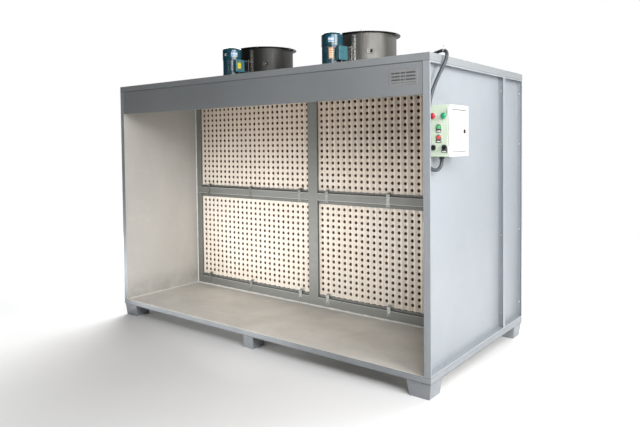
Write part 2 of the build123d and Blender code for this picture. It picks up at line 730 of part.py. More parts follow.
with BuildPart() as fan_bolts:
    for distance in fan_distances.values():
        fan_x = from_right(distance)
        for index in range(fan_bolt_count):
            around = math.radians(22.5 + index * 360 / fan_bolt_count)
            seat = (fan_x + base_pitch_r * math.cos(around), fan_y + base_pitch_r * math.sin(around))
            start = (*seat, height + flange_thick)
            hex_bolt(start, (0, 0, 1), base_bolt, 26, nut_at=flange_thick + sheet)
        for index in range(duct_studs):
            around = math.radians(18 + index * 360 / duct_studs)
            spot = (duct_pitch_r * math.cos(around), duct_pitch_r * math.sin(around))
            low = local_point(fan_x, *spot, casing_top - flange_thick)
            rod(low, (0, 0, -1), 2 * stud_r, 2.5)
            rod(low, (0, 0, 1), clinch_r, flange_thick)
            rod(low, (0, 0, 1), stud_r, flange_thick + stud_reach)
        for side in (-1, 1):
            for foot_z in foot_hole_zs:
                start = local_point(fan_x, side * foot_hole_x, foot_face, foot_z)
                grip = plate_y[1] - foot_face
                hex_bolt(start, local_way(0, -1), foot_bolt, grip + 12, nut_at=grip)
        for side in (-1, 1):
            for rod_z in rod_zs:
                start = local_point(fan_x, side * (bar_x + rod_inset), bar_front + 33, rod_z)
                rod(start, local_way(0, -1), 6, 96)
                for nut_y, way in ((bar_front, -1), (bar_front + 5, 1), (plate_y[0], -1), (plate_y[1], 1)):
                    seat = local_point(fan_x, side * (bar_x + rod_inset), nut_y, rod_z)
                    with BuildSketch(Plane(origin=seat, z_dir=local_way(0, way))) as nut:
                        RegularPolygon(10, 6)
                    extrude(nut.sketch, amount=9)
save(fan_bolts.part, "fan_bolts")

spiders = [bearing_spider(from_right(distance)) for distance in fan_distances.values()]
save_group(spiders, "bearing_spiders")

# ---- control box on the right side wall ---------------------------------------------------
box_front = from_front(80)
box_back = from_front(392)
box_z = (1690, 2044)
box_x = (wall_x, right_x + 92)  # back and open mouth of the enclosure
door_x = (right_x + 92.6, right_x + 102)
box_wall = 2
control_offsets = {"left": 36, "middle": 76, "right": 117}  # from the back of the box
control_xs = {name: box_x[0] + offset_x for name, offset_x in control_offsets.items()}
mushroom_z = 1969
start_z = 1892
stop_z = 1821
selector_z = 1752
panel_hole_r = 15.25
gland_spot = (right_x + 15, from_front(146))
control_spots = {
    "red_mushroom": ("left", mushroom_z),
    "green_mushroom": ("right", mushroom_z),
    "start_button": ("middle", start_z),
    "stop_button": ("middle", stop_z),
    "selector_left": ("left", selector_z),
    "selector_right": ("right", selector_z),
}
hinge_x = right_x + 95.5
hinge_y = box_front - 4.5
knuckle_r = 4
pin_r = 2
knuckle_zs = ((box_z[0] + 40, 16), (box_z[1] - 56, 16))
lock_spot = (box_back - 67, 1864)

with BuildPart() as control_box:
    block(box_x, (box_front, box_back), box_z)
    inside_y = (box_front + box_wall, box_back - box_wall)
    inside_z = (box_z[0] + box_wall, box_z[1] - box_wall)
    block((box_x[0] + box_wall, box_x[1] - box_wall), inside_y, inside_z, Mode.SUBTRACT)
    lip = 12
    lip_y = (inside_y[0] + lip, inside_y[1] - lip)
    lip_z = (inside_z[0] + lip, inside_z[1] - lip)
    block((box_x[1] - box_wall, box_x[1]), lip_y, lip_z, Mode.SUBTRACT)
    for column, control_z in control_spots.values():
        spot = (control_xs[column], box_front - 1, control_z)
        rod(spot, (0, 1, 0), panel_hole_r, box_wall + 2, mode=Mode.SUBTRACT)
    rod((*gland_spot, box_z[0] - 1), (0, 0, 1), 11.5, box_wall + 2, mode=Mode.SUBTRACT)
    for hole_y, hole_z in box_bolt_spots:
        rod((box_x[0] - 1, hole_y, hole_z), (1, 0, 0), 4.5, box_wall + 2, mode=Mode.SUBTRACT)
    for knuckle_z, knuckle_height in knuckle_zs:
        for part_z in (knuckle_z - knuckle_height, knuckle_z + knuckle_height):
            z = (part_z, part_z + knuckle_height - 0.5)
            block((box_x[1] - 3, hinge_x), (hinge_y, box_front), z)
            rod((hinge_x, hinge_y, z[0]), (0, 0, 1), knuckle_r, z[1] - z[0])
            rod((hinge_x, hinge_y, z[0]), (0, 0, 1), pin_r + 0.05, z[1] - z[0], mode=Mode.SUBTRACT)
save(control_box.part, "control_box")

with BuildPart() as door:
    door_y = (box_front + 2.5, box_back + 1)
    door_z = (box_z[0] - 1, box_z[1] + 1)
    block(door_x, door_y, door_z)
    hollow_y = (door_y[0] + box_wall, door_y[1] - box_wall)
    hollow_z = (door_z[0] + box_wall, door_z[1] - box_wall)
    block((door_x[0], door_x[1] - box_wall), hollow_y, hollow_z, Mode.SUBTRACT)
    fillet(door.edges().filter_by(Axis.X), 3)
    for groove_z in (door_z[0] + 33, door_z[1] - 33):
        groove = (door_y[0] + 46, door_y[1] - 42)
        block((door_x[1] - 0.6, door_x[1]), groove, (groove_z - 3, groove_z + 3), Mode.SUBTRACT)
    rod((door_x[0], *lock_spot), (1, 0, 0), 11.1, 20, mode=Mode.SUBTRACT)
    for knuckle_z, knuckle_height in knuckle_zs:
        z = (knuckle_z, knuckle_z + knuckle_height - 0.5)
        block((hinge_x, hinge_x + 3), (hinge_y, door_y[0] + 1), z)
        rod((hinge_x, hinge_y, z[0]), (0, 0, 1), knuckle_r, z[1] - z[0])
        rod((hinge_x, hinge_y, z[0]), (0, 0, 1), pin_r + 0.05, z[1] - z[0], mode=Mode.SUBTRACT)
save(door.part, "control_box_door")

with BuildPart() as hinge_pins:
    for knuckle_z, knuckle_height in knuckle_zs:
        start = (hinge_x, hinge_y, knuckle_z - knuckle_height - 1)
        rod(start, (0, 0, 1), pin_r, 3 * knuckle_height + 1)
        rod(start, (0, 0, -1), pin_r + 1.5, 1.5)
save(hinge_pins.part, "door_hinge_pins")

with BuildPart() as lock:
    rod((door_x[1] + 0.3, *lock_spot), (1, 0, 0), 15, 2.2)
    rod((door_x[0] - 5, *lock_spot), (1, 0, 0), 10.8, door_x[1] - door_x[0] + 6)
    block(
        (door_x[1] + 2.5, right_x + box_reach),
        (lock_spot[0] - 3, lock_spot[0] + 3),
        (lock_spot[1] - 11, lock_spot[1] + 11),
    )
    block(
        (door_x[0] - 7, door_x[0] - 4),
        (lock_spot[0] - 8, lock_spot[0] + 8),
        (lock_spot[1] - 10, lock_spot[1] + 62),
    )
save(lock.part, "door_lock")

# fixed rings and legend plates of the operators, and their contact blocks inside
bezel_r = 20
bore_r = 13.3
neck_r = 15
contact_depth = 44
with BuildPart() as control_bezels:
    for name, (column, control_z) in control_spots.items():
        centre = (control_xs[column], box_front, control_z)
        ring = bezel_r - 3 if "mushroom" in name else bezel_r
        rod(centre, (0, -1, 0), ring, 5)
        rod(centre, (0, 1, 0), neck_r, 12)
        if "button" in name or name == "selector_right":
            x = (centre[0] - 21, centre[0] + 21)
            block(x, (box_front - 2.5, box_front), (control_z - 36, control_z))
        rod((centre[0], box_front - 6, control_z), (0, 1, 0), bore_r, 30, mode=Mode.SUBTRACT)
save(control_bezels.part, "control_bezels")

for name in ("start_button", "stop_button"):
    column, control_z = control_spots[name]
    with BuildPart() as button:
        centre = (control_xs[column], box_front - 11, control_z)
        rod(centre, (0, 1, 0), bore_r - 0.3, 23)
        fillet(button.edges().filter_by(GeomType.CIRCLE).sort_by(Axis.Y)[0], 2.5)
    save(button.part, name)

head_r = 21
dome_rise = 9
dome_r = (head_r**2 + dome_rise**2) / (2 * dome_rise)
for name in ("red_mushroom", "green_mushroom"):
    column, control_z = control_spots[name]
    spot = (control_xs[column], box_front, control_z)
    with BuildPart() as mushroom:
        side_plane = Plane(origin=spot, x_dir=(1, 0, 0), z_dir=(0, 0, 1))
        with BuildSketch(side_plane) as profile:
            with BuildLine():
                stem_r = bore_r - 0.3
                Line((0, 12), (stem_r, 12))
                Line((stem_r, 12), (stem_r, -11.5))
                Line((stem_r, -11.5), (head_r, -17))
                RadiusArc((head_r, -17), (0, -26), dome_r)
                Line((0, -26), (0, 12))
            make_face()
        revolve(profile.sketch, axis=Axis(spot, (0, 1, 0)))
    save(mushroom.part, name)

for name in ("selector_left", "selector_right"):
    column, control_z = control_spots[name]
    with BuildPart() as selector:
        centre = (control_xs[column], box_front - 9, control_z)
        rod(centre, (0, 1, 0), bore_r - 0.3, 21)
        block(
            (centre[0] - 5, centre[0] + 5),
            (box_front - 24, box_front - 9),
            (control_z - 16, control_z + 16),
        )
        fillet(selector.edges().filter_by(Axis.Y).sort_by(Axis.Y)[:4], 2)
    save(selector.part, name)

with BuildPart() as mounting_plate:
    plate_back = box_x[0] + 14
    block((plate_back, plate_back + 2), (box_front + 22, box_back - 22), (box_z[0] + 24, box_z[1] - 24))
with BuildPart() as devices:
    device_x = plate_back + 2
    for index in range(2):
        device_y = box_front + 150 + index * 62
        block((device_x, device_x + 62), (device_y, device_y + 45), (1900, 1978))
        block((device_x, device_x + 48), (device_y, device_y + 45), (1822, 1899))
    block((device_x, device_x + 30), (box_front + 60, box_back - 60), (1735, 1775))
    for column, control_z in control_spots.values():
        spot_x = control_xs[column]
        spot_y = (box_front + 20, box_front + 20 + contact_depth)
        block((spot_x - 14, spot_x + 14), spot_y, (control_z - 20, control_z + 20))
save_group([mounting_plate.part, devices.part], "switchgear")

# ---- bolts and screws of the cabinet ------------------------------------------------------
bolt_size = 8
with BuildPart() as panel_bolts:
    for side_x in (right_x - tray / 2, left_x + tray / 2):
        for bolt_z in joint_bolt_zs:
            hex_bolt((side_x, joint_y - sheet, bolt_z), (0, -1, 0), bolt_size, 20, nut_at=2 * sheet)
        for bolt_y in bottom_bolt_ys:
            hex_bolt((side_x, bolt_y, rail_top + foot_flange), (0, 0, 1), bolt_size, foot_flange + 14)
    for hole_y, hole_z in box_bolt_spots:
        hex_bolt((box_x[0] + box_wall, hole_y, hole_z), (1, 0, 0), bolt_size, 18, nut_at=box_wall + sheet)
save(panel_bolts.part, "panel_bolts")

with BuildPart() as screws:
    for screw_z in frame_screw_zs:
        pan_screw((wall_x, from_front(1005), screw_z), (1, 0, 0), 5, 10)
        pan_screw((left_x + tray, from_front(1005), screw_z), (-1, 0, 0), 5, 10)
    for clip_x, screw_z in clip_spots:
        pan_screw((clip_x, frame_y[0] - sheet, screw_z), (0, -1, 0), 5, 1.9)
    for screw_x, screw_z in rear_screw_spots:
        pan_screw((screw_x, rear_y, screw_z), (0, 1, 0), 5, 12)
    for rivet_x, rivet_z in rivet_spots:
        rod((rivet_x, front_y - plate_thick, rivet_z), (0, -1, 0), 4, 2)
        rod((rivet_x, front_y - plate_thick, rivet_z), (0, 1, 0), 2, 5)
save(screws.part, "sheet_metal_screws")


# ---- conduit from the two motors to the control box ---------------------------------------
def conduit_tube(points, name):
    """Flexible conduit along straight runs joined by arcs as large as the runs allow."""
    corners = [Vector(*point) for point in points]
    radii = []
    for before, corner, after in zip(corners, corners[1:], corners[2:]):
        turn = math.radians((corner - before).get_angle(after - corner))
        shorter = min((corner - before).length, (after - corner).length)
        radii.append(0.45 * shorter / math.tan(turn / 2))
    with BuildPart() as tube:
        with BuildLine() as path:
            FilletPolyline(*points, radius=radii)
        with BuildSketch(Plane(origin=path.wire() @ 0, z_dir=path.wire() % 0)):
            Circle(conduit_d / 2)
        sweep()
    length = path.wire().length
    share = tube.part.volume / (length * math.pi * (conduit_d / 2) ** 2)
    print(name, "length", round(length), "volume share", round(share, 4), "radii", [round(r) for r in radii])
    save(tube.part, name)


lie = height + conduit_d / 2 + 1  # centre of a conduit that lies on the roof
tee_centre = (from_right(1010), from_front(640), lie + 4)
tee_reach = 34
lead_z = terminal_z[0] - 27
leads = {}
for fan_side, distance in fan_distances.items():
    leads[fan_side] = local_point(from_right(distance), *lead_spot, lead_z)
left_lead = leads["left"]
right_lead = leads["right"]

conduit_tube(
    [
        tuple(left_lead),
        (left_lead.X, left_lead.Y, 2478),
        (left_lead.X + 40, left_lead.Y - 40, 2430),
        (from_right(2640), from_front(812), lie),
        (from_right(2420), from_front(742), lie),
        (from_right(2070), from_front(700), lie),
        (from_right(1690), from_front(676), lie),
        (from_right(1330), from_front(622), lie),
        (tee_centre[0] - tee_reach - 90, tee_centre[1], tee_centre[2]),
        (tee_centre[0] - tee_reach, tee_centre[1], tee_centre[2]),
    ],
    "conduit_left",
)
conduit_tube(
    [
        tuple(right_lead),
        (right_lead.X, right_lead.Y, 2478),
        (right_lead.X + 36, right_lead.Y - 8, 2428),
        (from_right(1230), from_front(872), lie),
        (from_right(1090), from_front(836), lie),
        (tee_centre[0], tee_centre[1] + tee_reach + 80, tee_centre[2]),
        (tee_centre[0], tee_centre[1] + tee_reach, tee_centre[2]),
    ],
    "conduit_right",
)
gland_length = 20
conduit_tube(
    [
        (tee_centre[0] + tee_reach, tee_centre[1], tee_centre[2]),
        (tee_centre[0] + tee_reach + 100, tee_centre[1], tee_centre[2]),
        (from_right(700), from_front(594), lie),
        (from_right(440), from_front(458), lie),
        (from_right(250), from_front(330), lie),
        (from_right(128), from_front(258), lie + 4),
        (from_right(48), from_front(232), 2434),
        (right_x + 4, from_front(216), 2437),
        (right_x + 33, from_front(200), 2410),
        (right_x + 31, from_front(182), 2359),
        (right_x + 14, from_front(149), 2296),
        (right_x + 2, from_front(98), 2222),
        (right_x - 14, from_front(48), 2120),
        (right_x - 27, from_front(23), 1990),
        (right_x - 32, from_front(19), 1850),
        (right_x - 31, from_front(20), 1740),
        (right_x - 32, from_front(19), 1643),
        (right_x - 18, from_front(56), 1600),
        (right_x + 1, from_front(107), 1592),
        (gland_spot[0], gland_spot[1], 1628),
        (gland_spot[0], gland_spot[1], box_z[0] - gland_length),
    ],
    "conduit_main",
)

with BuildPart() as conduit_fittings:
    rod((*gland_spot, box_z[0] - gland_length), (0, 0, 1), 17, gland_length)
    rod((*gland_spot, box_z[0]), (0, 0, 1), 11.2, 10)
    rod((*gland_spot, box_z[0] + box_wall + 0.2), (0, 0, 1), 16, 5)
    for lead in leads.values():
        rod(lead, (0, 0, 1), 16, terminal_z[0] - lead_z)
        rod((lead.X, lead.Y, terminal_z[0]), (0, 0, 1), 9.8, 6)
    rod((tee_centre[0] - tee_reach, *tee_centre[1:]), (1, 0, 0), 17, 2 * tee_reach)
    rod(tee_centre, (0, 1, 0), 17, tee_reach)
save(conduit_fittings.part, "conduit_fittings")
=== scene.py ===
import json
import math

import bmesh
import bpy
from mathutils import Matrix, Vector


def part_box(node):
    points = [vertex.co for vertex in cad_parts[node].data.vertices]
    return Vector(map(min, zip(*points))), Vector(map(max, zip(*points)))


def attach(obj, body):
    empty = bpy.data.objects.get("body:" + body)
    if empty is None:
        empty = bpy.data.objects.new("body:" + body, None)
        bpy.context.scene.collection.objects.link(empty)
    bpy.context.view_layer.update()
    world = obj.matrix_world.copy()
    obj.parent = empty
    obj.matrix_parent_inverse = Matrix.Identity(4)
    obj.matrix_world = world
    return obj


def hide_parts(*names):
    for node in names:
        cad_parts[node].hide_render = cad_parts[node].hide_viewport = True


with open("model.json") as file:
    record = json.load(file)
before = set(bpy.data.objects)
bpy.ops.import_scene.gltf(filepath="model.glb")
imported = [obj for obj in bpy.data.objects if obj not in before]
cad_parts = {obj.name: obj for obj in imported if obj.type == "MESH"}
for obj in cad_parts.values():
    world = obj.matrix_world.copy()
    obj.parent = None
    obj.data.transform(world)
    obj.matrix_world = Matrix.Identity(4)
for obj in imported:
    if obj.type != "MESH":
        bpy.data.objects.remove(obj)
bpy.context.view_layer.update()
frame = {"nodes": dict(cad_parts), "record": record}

# ---- places, from the CAD frame -------------------------------------------------------------
MM = 0.001
TINY = 1e-9
BOOTH = "booth"
UP = (0, 0, 1)
side_lo, side_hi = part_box("side_panel_right_front")
left_lo, left_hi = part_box("side_panel_left_front")
RIGHT_X = side_hi[0]
FRONT_Y = side_lo[1]
LEFT_X = left_lo[0]
MIDDLE_X = (LEFT_X + RIGHT_X) / 2
ROOF_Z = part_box("roof_panel_right")[1][2]
FLOOR_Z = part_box("floor_pan")[1][2]
INNER_HALF = (side_lo[0] - left_hi[0]) / 2  # half the clear width between the side walls


def at(right, front, z):
    """Point given in mm in from the right side plane, back from the front plane and above the ground."""
    return Vector((RIGHT_X - right * MM, FRONT_Y + front * MM, z * MM))


# ---- camera: fitted to the cabinet's straight edges in the photograph ------------------------
SENSOR, LENS, SHIFT = 36, 33.26, -0.0775
CAMERA_FROM_CORNER = Vector((1.8835, -3.6201, 1.7888))  # from the front right corner on the ground
HEADING, PITCH, ROLL = 0.6639, -0.0346, 0.0103
CLIP_END = 300


def make_camera():
    data = bpy.data.cameras.new("camera")
    data.sensor_width = SENSOR
    data.lens = LENS
    data.shift_y = SHIFT
    data.clip_end = CLIP_END
    camera = bpy.data.objects.new("camera", data)
    bpy.context.scene.collection.objects.link(camera)
    turn = Matrix.Rotation(HEADING, 4, "Z") @ Matrix.Rotation(PITCH, 4, "X")
    turn = turn @ Matrix.Rotation(ROLL, 4, "Y")
    place = Vector((RIGHT_X, FRONT_Y, 0)) + CAMERA_FROM_CORNER
    camera.matrix_world = Matrix.Translation(place) @ turn @ Matrix.Rotation(math.pi / 2, 4, "X")
    bpy.context.scene.camera = camera


make_camera()


# ---- mesh helpers ---------------------------------------------------------------------------
def link(name, mesh):
    piece = bpy.data.objects.new(name, mesh)
    bpy.context.scene.collection.objects.link(piece)
    return piece


def from_bmesh(name, shape, smooth=None):
    mesh = bpy.data.meshes.new(name)
    bmesh.ops.recalc_face_normals(shape, faces=shape.faces)
    shape.to_mesh(mesh)
    shape.free()
    piece = link(name, mesh)
    if smooth is not None:
        mesh.shade_smooth()
        mesh.set_sharp_from_angle(angle=math.radians(smooth))
    return piece


def bridge(shape, rings):
    """Walls between rings of vertices, and a cap at each end."""
    join_rings(shape, rings)
    shape.faces.new(list(reversed(rings[0])))
    shape.faces.new(rings[-1])


def join_rings(shape, rings):
    for low, top in zip(rings, rings[1:]):
        for index in range(len(low)):
            after = (index + 1) % len(low)
            shape.faces.new((low[index], low[after], top[after], top[index]))


def plate(shape, place, size, radius, steps=5):
    """Rounded rectangular plate: place maps its (u, v, height) to the booth's frame."""
    wide, high, thick = size
    outline = []
    for corner, (sx, sy) in enumerate(((1, 1), (-1, 1), (-1, -1), (1, -1))):
        for step in range(steps + 1):
            angle = math.radians(90 * (corner + step / steps))
            u = sx * (wide / 2 - radius) + radius * math.cos(angle)
            v = sy * (high / 2 - radius) + radius * math.sin(angle)
            outline.append((u, v))
    rim = min(0.3 * thick, 0.3 * radius)
    rings = []
    for lift, shrink in ((0, 0), (thick - rim, 0), (thick, rim)):
        ring = []
        for u, v in outline:
            ku = 1 - 2 * shrink / wide
            kv = 1 - 2 * shrink / high
            ring.append(shape.verts.new(place @ Vector((u * ku, v * kv, lift))))
        rings.append(ring)
    bridge(shape, rings)


def lathe(shape, place, profile, count=24):
    """Turned wall with no caps: profile is (radius, height) pairs about place's Z axis."""
    rings = []
    for radius, lift in profile:
        ring = []
        for index in range(count):
            angle = 2 * math.pi * index / count
            spot = Vector((radius * math.cos(angle), radius * math.sin(angle), lift))
            ring.append(shape.verts.new(place @ spot))
        rings.append(ring)
    join_rings(shape, rings)


def axes_at(origin, u, v):
    """Matrix whose X, Y and Z are u, v and u x v, at origin."""
    u = Vector(u).normalized()
    v = Vector(v).normalized()
    w = u.cross(v)
    basis = Matrix((u, v, w)).transposed().to_4x4()
    return Matrix.Translation(Vector(origin)) @ basis


# ---- cords: the conduit ---------------------------------------------------------------------
CONDUIT_R = 0.013
FAN_TURN = math.radians(-10)  # how far each motor is turned from its fan's front
MOTOR_CENTRE = 0.468  # from the fan's axis to its motor's
FAN_X = {"left": RIGHT_X - 2.811, "right": RIGHT_X - 1.439}
FAN_Y = FRONT_Y + 1.4
LEAD_OUT = 0.123  # from the motor's axis to its terminal box's gland
LEAD_Z = 2.545  # the terminal boxes' glands, which point down
DROP_Z = 2.478  # where a lead starts to bend away from its motor
LIE = 2414  # in mm, the axis of a conduit that lies on the roof
GLAND = (-15, 146)  # the control box's gland, from the right side and the front, in mm
GLAND_END = 1670
TEE = at(1010, 640, 2418)
TEE_REACH = 0.034


def fan_point(side, x, y, z):
    """Point of a fan's own frame, whose -Y points at its motor."""
    c, s = math.cos(FAN_TURN), math.sin(FAN_TURN)
    return Vector((FAN_X[side] + x * c - y * s, FAN_Y + x * s + y * c, z))


def fan_way(x, y):
    c, s = math.cos(FAN_TURN), math.sin(FAN_TURN)
    return Vector((x * c - y * s, x * s + y * c, 0))


def route_points(points):
    """Points along the smooth NURBS route through a conduit's control points."""
    curve = bpy.data.curves.new("route", "CURVE")
    curve.dimensions = "3D"
    curve.resolution_u = 24
    spline = curve.splines.new("NURBS")
    spline.points.add(len(points) - 1)
    for slot, point in zip(spline.points, points):
        slot.co = (*point, 1)
    spline.order_u = 3
    spline.use_endpoint_u = True
    carrier = link("route", curve)
    bpy.context.view_layer.update()
    mesh = bpy.data.meshes.new_from_object(carrier.evaluated_get(bpy.context.evaluated_depsgraph_get()))
    path = [v.co.copy() for v in mesh.vertices]
    bpy.data.objects.remove(carrier)
    bpy.data.meshes.remove(mesh)
    return path


def resample(path, pitch):
    """Evenly spaced points along a path, its two ends included."""
    reach = [0.0]
    for before, after in zip(path, path[1:]):
        reach.append(reach[-1] + (after - before).length)
    count = max(2, round(reach[-1] / pitch))
    result = []
    span = 0
    for index in range(count + 1):
        want = reach[-1] * index / count
        while span < len(path) - 2 and reach[span + 1] < want:
            span += 1
        share = (want - reach[span]) / max(reach[span + 1] - reach[span], TINY)
        result.append(path[span].lerp(path[span + 1], min(max(share, 0), 1)))
    return result, reach[-1]


def swept_rings(shape, path, radii, count=20):
    """Closed tube whose ring at each path point has that point's radius."""
    tangents = []
    for index in range(len(path)):
        before = path[max(index - 1, 0)]
        after = path[min(index + 1, len(path) - 1)]
        tangents.append((after - before).normalized())
    side = tangents[0].orthogonal().normalized()
    rings = []
    for point, tangent, radius in zip(path, tangents, radii):
        side = (side - tangent * side.dot(tangent)).normalized()
        over = tangent.cross(side)
        ring = []
        for index in range(count):
            angle = 2 * math.pi * index / count
            out = side * math.cos(angle) + over * math.sin(angle)
            ring.append(shape.verts.new(point + out * radius))
        rings.append(ring)
    bridge(shape, rings)


RIB_PITCH = 0.0055
RIB_STEPS = 4
RIB_DEPTH = 0.0007


def conduit(name, points):
    """Sheathed flexible conduit: a tube with shallow ribs that follows its route."""
    route = route_points(points)
    path, length = resample(route, RIB_PITCH / RIB_STEPS)
    radii = []
    for index in range(len(path)):
        wave = 0.5 + 0.5 * math.cos(2 * math.pi * index / RIB_STEPS)
        radii.append(CONDUIT_R - RIB_DEPTH * (1 - wave))
    shape = bmesh.new()
    swept_rings(shape, path, radii)
    tube = from_bmesh(f"{name}_hose", shape, smooth=60)
    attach(tube, BOOTH)
    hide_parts(name)
    return tube, route


left_lead = fan_point("left", LEAD_OUT, -MOTOR_CENTRE, LEAD_Z)
right_lead = fan_point("right", LEAD_OUT, -MOTOR_CENTRE, LEAD_Z)
tee_left = TEE - Vector((TEE_REACH, 0, 0))
tee_right = TEE + Vector((TEE_REACH, 0, 0))
tee_rear = TEE + Vector((0, TEE_REACH, 0))
left_hose, _ = conduit(
    "conduit_left",
    [
        left_lead,
        Vector((left_lead.x, left_lead.y, DROP_Z)),
        Vector((left_lead.x + 0.040, left_lead.y - 0.040, 2.430)),
        at(2640, 812, LIE),
        at(2420, 742, LIE),
        at(2070, 700, LIE),
        at(1690, 676, LIE),
        at(1330, 622, LIE),
        tee_left - Vector((0.090, 0, 0)),
        tee_left,
    ],
)
right_hose, _ = conduit(
    "conduit_right",
    [
        right_lead,
        Vector((right_lead.x, right_lead.y, DROP_Z)),
        Vector((right_lead.x + 0.036, right_lead.y - 0.008, 2.428)),
        at(1230, 872, LIE),
        at(1090, 836, LIE),
        tee_rear + Vector((0, 0.080, 0)),
        tee_rear,
    ],
)
main_hose, main_route = conduit(
    "conduit_main",
    [
        tee_right,
        tee_right + Vector((0.100, 0, 0)),
        at(700, 594, LIE),
        at(440, 458, LIE),
        at(250, 330, LIE),
        at(128, 258, LIE + 4),
        at(48, 232, 2434),
        at(-4, 216, 2437),
        at(-33, 200, 2410),
        at(-31, 182, 2359),
        at(-14, 149, 2296),
        at(-2, 98, 2222),
        at(14, 48, 2120),
        at(27, 23, 1990),
        at(32, 19, 1850),
        at(31, 20, 1740),
        at(32, 19, 1643),
        at(18, 56, 1600),
        at(-1, 107, 1592),
        at(*GLAND, 1628),
        at(*GLAND, GLAND_END),
    ],
)


# ---- materials ------------------------------------------------------------------------------
RANGE_SOCKETS = ("From Min", "From Max", "To Min", "To Max")


class Look:
    """A node material: a Principled shader with textures in the booth's own coordinates."""

    def __init__(self, name, roughness=0.45, metallic=0.0, **sockets):
        self.material = bpy.data.materials.new(name)
        self.material.use_nodes = True
        self.tree = self.material.node_tree
        self.shader = self.tree.nodes["Principled BSDF"]
        self.set(Roughness=roughness, Metallic=metallic, **sockets)
        self.object_coords = self.add("ShaderNodeTexCoord").outputs["Object"]
        self.normal = None

    def set(self, **sockets):
        for socket, value in sockets.items():
            self.shader.inputs[socket.replace("_", " ")].default_value = value

    def add(self, kind, **settings):
        node = self.tree.nodes.new(kind)
        for setting, value in settings.items():
            setattr(node, setting, value)
        return node

    def wire(self, output, socket):
        self.tree.links.new(output, socket)

    def stretched(self, stretch):
        if stretch is None:
            return self.object_coords
        mapping = self.add("ShaderNodeMapping")
        mapping.inputs["Scale"].default_value = stretch
        self.wire(self.object_coords, mapping.inputs["Vector"])
        return mapping.outputs["Vector"]

    def noise(self, scale, detail=3.0, roughness=0.55, stretch=None, distortion=0.0):
        node = self.add("ShaderNodeTexNoise")
        node.inputs["Scale"].default_value = scale
        node.inputs["Detail"].default_value = detail
        node.inputs["Roughness"].default_value = roughness
        node.inputs["Distortion"].default_value = distortion
        self.wire(self.stretched(stretch), node.inputs["Vector"])
        return node.outputs["Fac"]

    def cells(self, scale, stretch=None, feature="F1"):
        node = self.add("ShaderNodeTexVoronoi", feature=feature)
        node.inputs["Scale"].default_value = scale
        self.wire(self.stretched(stretch), node.inputs["Vector"])
        return node.outputs["Distance"]

    def ranged(self, value, low, high, to_low=0.0, to_high=1.0, smooth=False):
        node = self.add("ShaderNodeMapRange")
        node.interpolation_type = "SMOOTHSTEP" if smooth else "LINEAR"
        for socket, number in zip(RANGE_SOCKETS, (low, high, to_low, to_high)):
            node.inputs[socket].default_value = number
        self.wire(value, node.inputs["Value"])
        return node.outputs["Result"]

    def math(self, operation, first, second=None):
        node = self.add("ShaderNodeMath", operation=operation)
        for socket, value in zip(node.inputs, (first, second)):
            if value is None:
                continue
            if isinstance(value, (int, float)):
                socket.default_value = value
            else:
                self.wire(value, socket)
        return node.outputs["Value"]

    def off(self, axis, place):
        """Distance from a plane of the booth's frame, across an axis."""
        return self.math("ABSOLUTE", self.math("SUBTRACT", self.along(axis), place))

    def line(self, axis, place, core, reach, strength):
        """Mask of a thin line at a place along an axis: full within core, gone at reach."""
        return self.ranged(self.off(axis, place), core, reach, strength, 0.0)

    def along(self, axis):
        """Coordinate of the booth's frame: 0, 1 or 2 for X, Y or Z."""
        node = self.add("ShaderNodeSeparateXYZ")
        self.wire(self.object_coords, node.inputs["Vector"])
        return node.outputs[axis]

    def mixed(self, factor, first, second):
        node = self.add("ShaderNodeMix", data_type="RGBA")
        self.wire(factor, node.inputs["Factor"])
        for socket, value in zip((node.inputs[6], node.inputs[7]), (first, second)):
            if isinstance(value, (tuple, list)):
                socket.default_value = (*value[:3], 1)
            else:
                self.wire(value, socket)
        return node.outputs[2]

    def colour(self, value):
        if isinstance(value, (tuple, list)):
            self.shader.inputs["Base Color"].default_value = (*value[:3], 1)
        else:
            self.wire(value, self.shader.inputs["Base Color"])

    def rough(self, value):
        self.wire(value, self.shader.inputs["Roughness"])

    def edges(self, radius):
        """Mask that is 1 on the outer and inner edges within a radius."""
        bevel = self.add("ShaderNodeBevel", samples=4)
        bevel.inputs["Radius"].default_value = radius
        geometry = self.add("ShaderNodeNewGeometry")
        node = self.add("ShaderNodeVectorMath", operation="DOT_PRODUCT")
        self.wire(bevel.outputs["Normal"], node.inputs[0])
        self.wire(geometry.outputs["Normal"], node.inputs[1])
        return self.ranged(node.outputs["Value"], 0.75, 0.995, 1.0, 0.0)

    def soft_edges(self, radius):
        """Rounds the look of sharp edges; call it before bump."""
        bevel = self.add("ShaderNodeBevel", samples=4)
        bevel.inputs["Radius"].default_value = radius
        self.normal = bevel.outputs["Normal"]
        self.wire(self.normal, self.shader.inputs["Normal"])

    def bump(self, height, distance, strength=1.0):
        node = self.add("ShaderNodeBump")
        node.inputs["Strength"].default_value = strength
        node.inputs["Distance"].default_value = distance
        self.wire(height, node.inputs["Height"])
        if self.normal is not None:
            self.wire(self.normal, node.inputs["Normal"])
        self.normal = node.outputs["Normal"]
        self.wire(self.normal, self.shader.inputs["Normal"])


def shade(colour, factor):
    return tuple(min(1.0, c * factor) for c in colour[:3])


def srgb(red, green, blue):
    """Linear colour from display values of 0 to 255."""
    def linear(value):
        value /= 255
        return value / 12.92 if value <= 0.04045 else ((value + 0.055) / 1.055) ** 2.4
    return tuple(linear(v) for v in (red, green, blue))


SEAM_SHADE = 0.28  # how dark a seam between two sheets is, against their paint
SEAM_STRENGTH = 0.85
EDGE_RADIUS = 0.0015
GRIME = srgb(92, 86, 78)
GRIME_HEIGHTS = (0.02, 0.45)


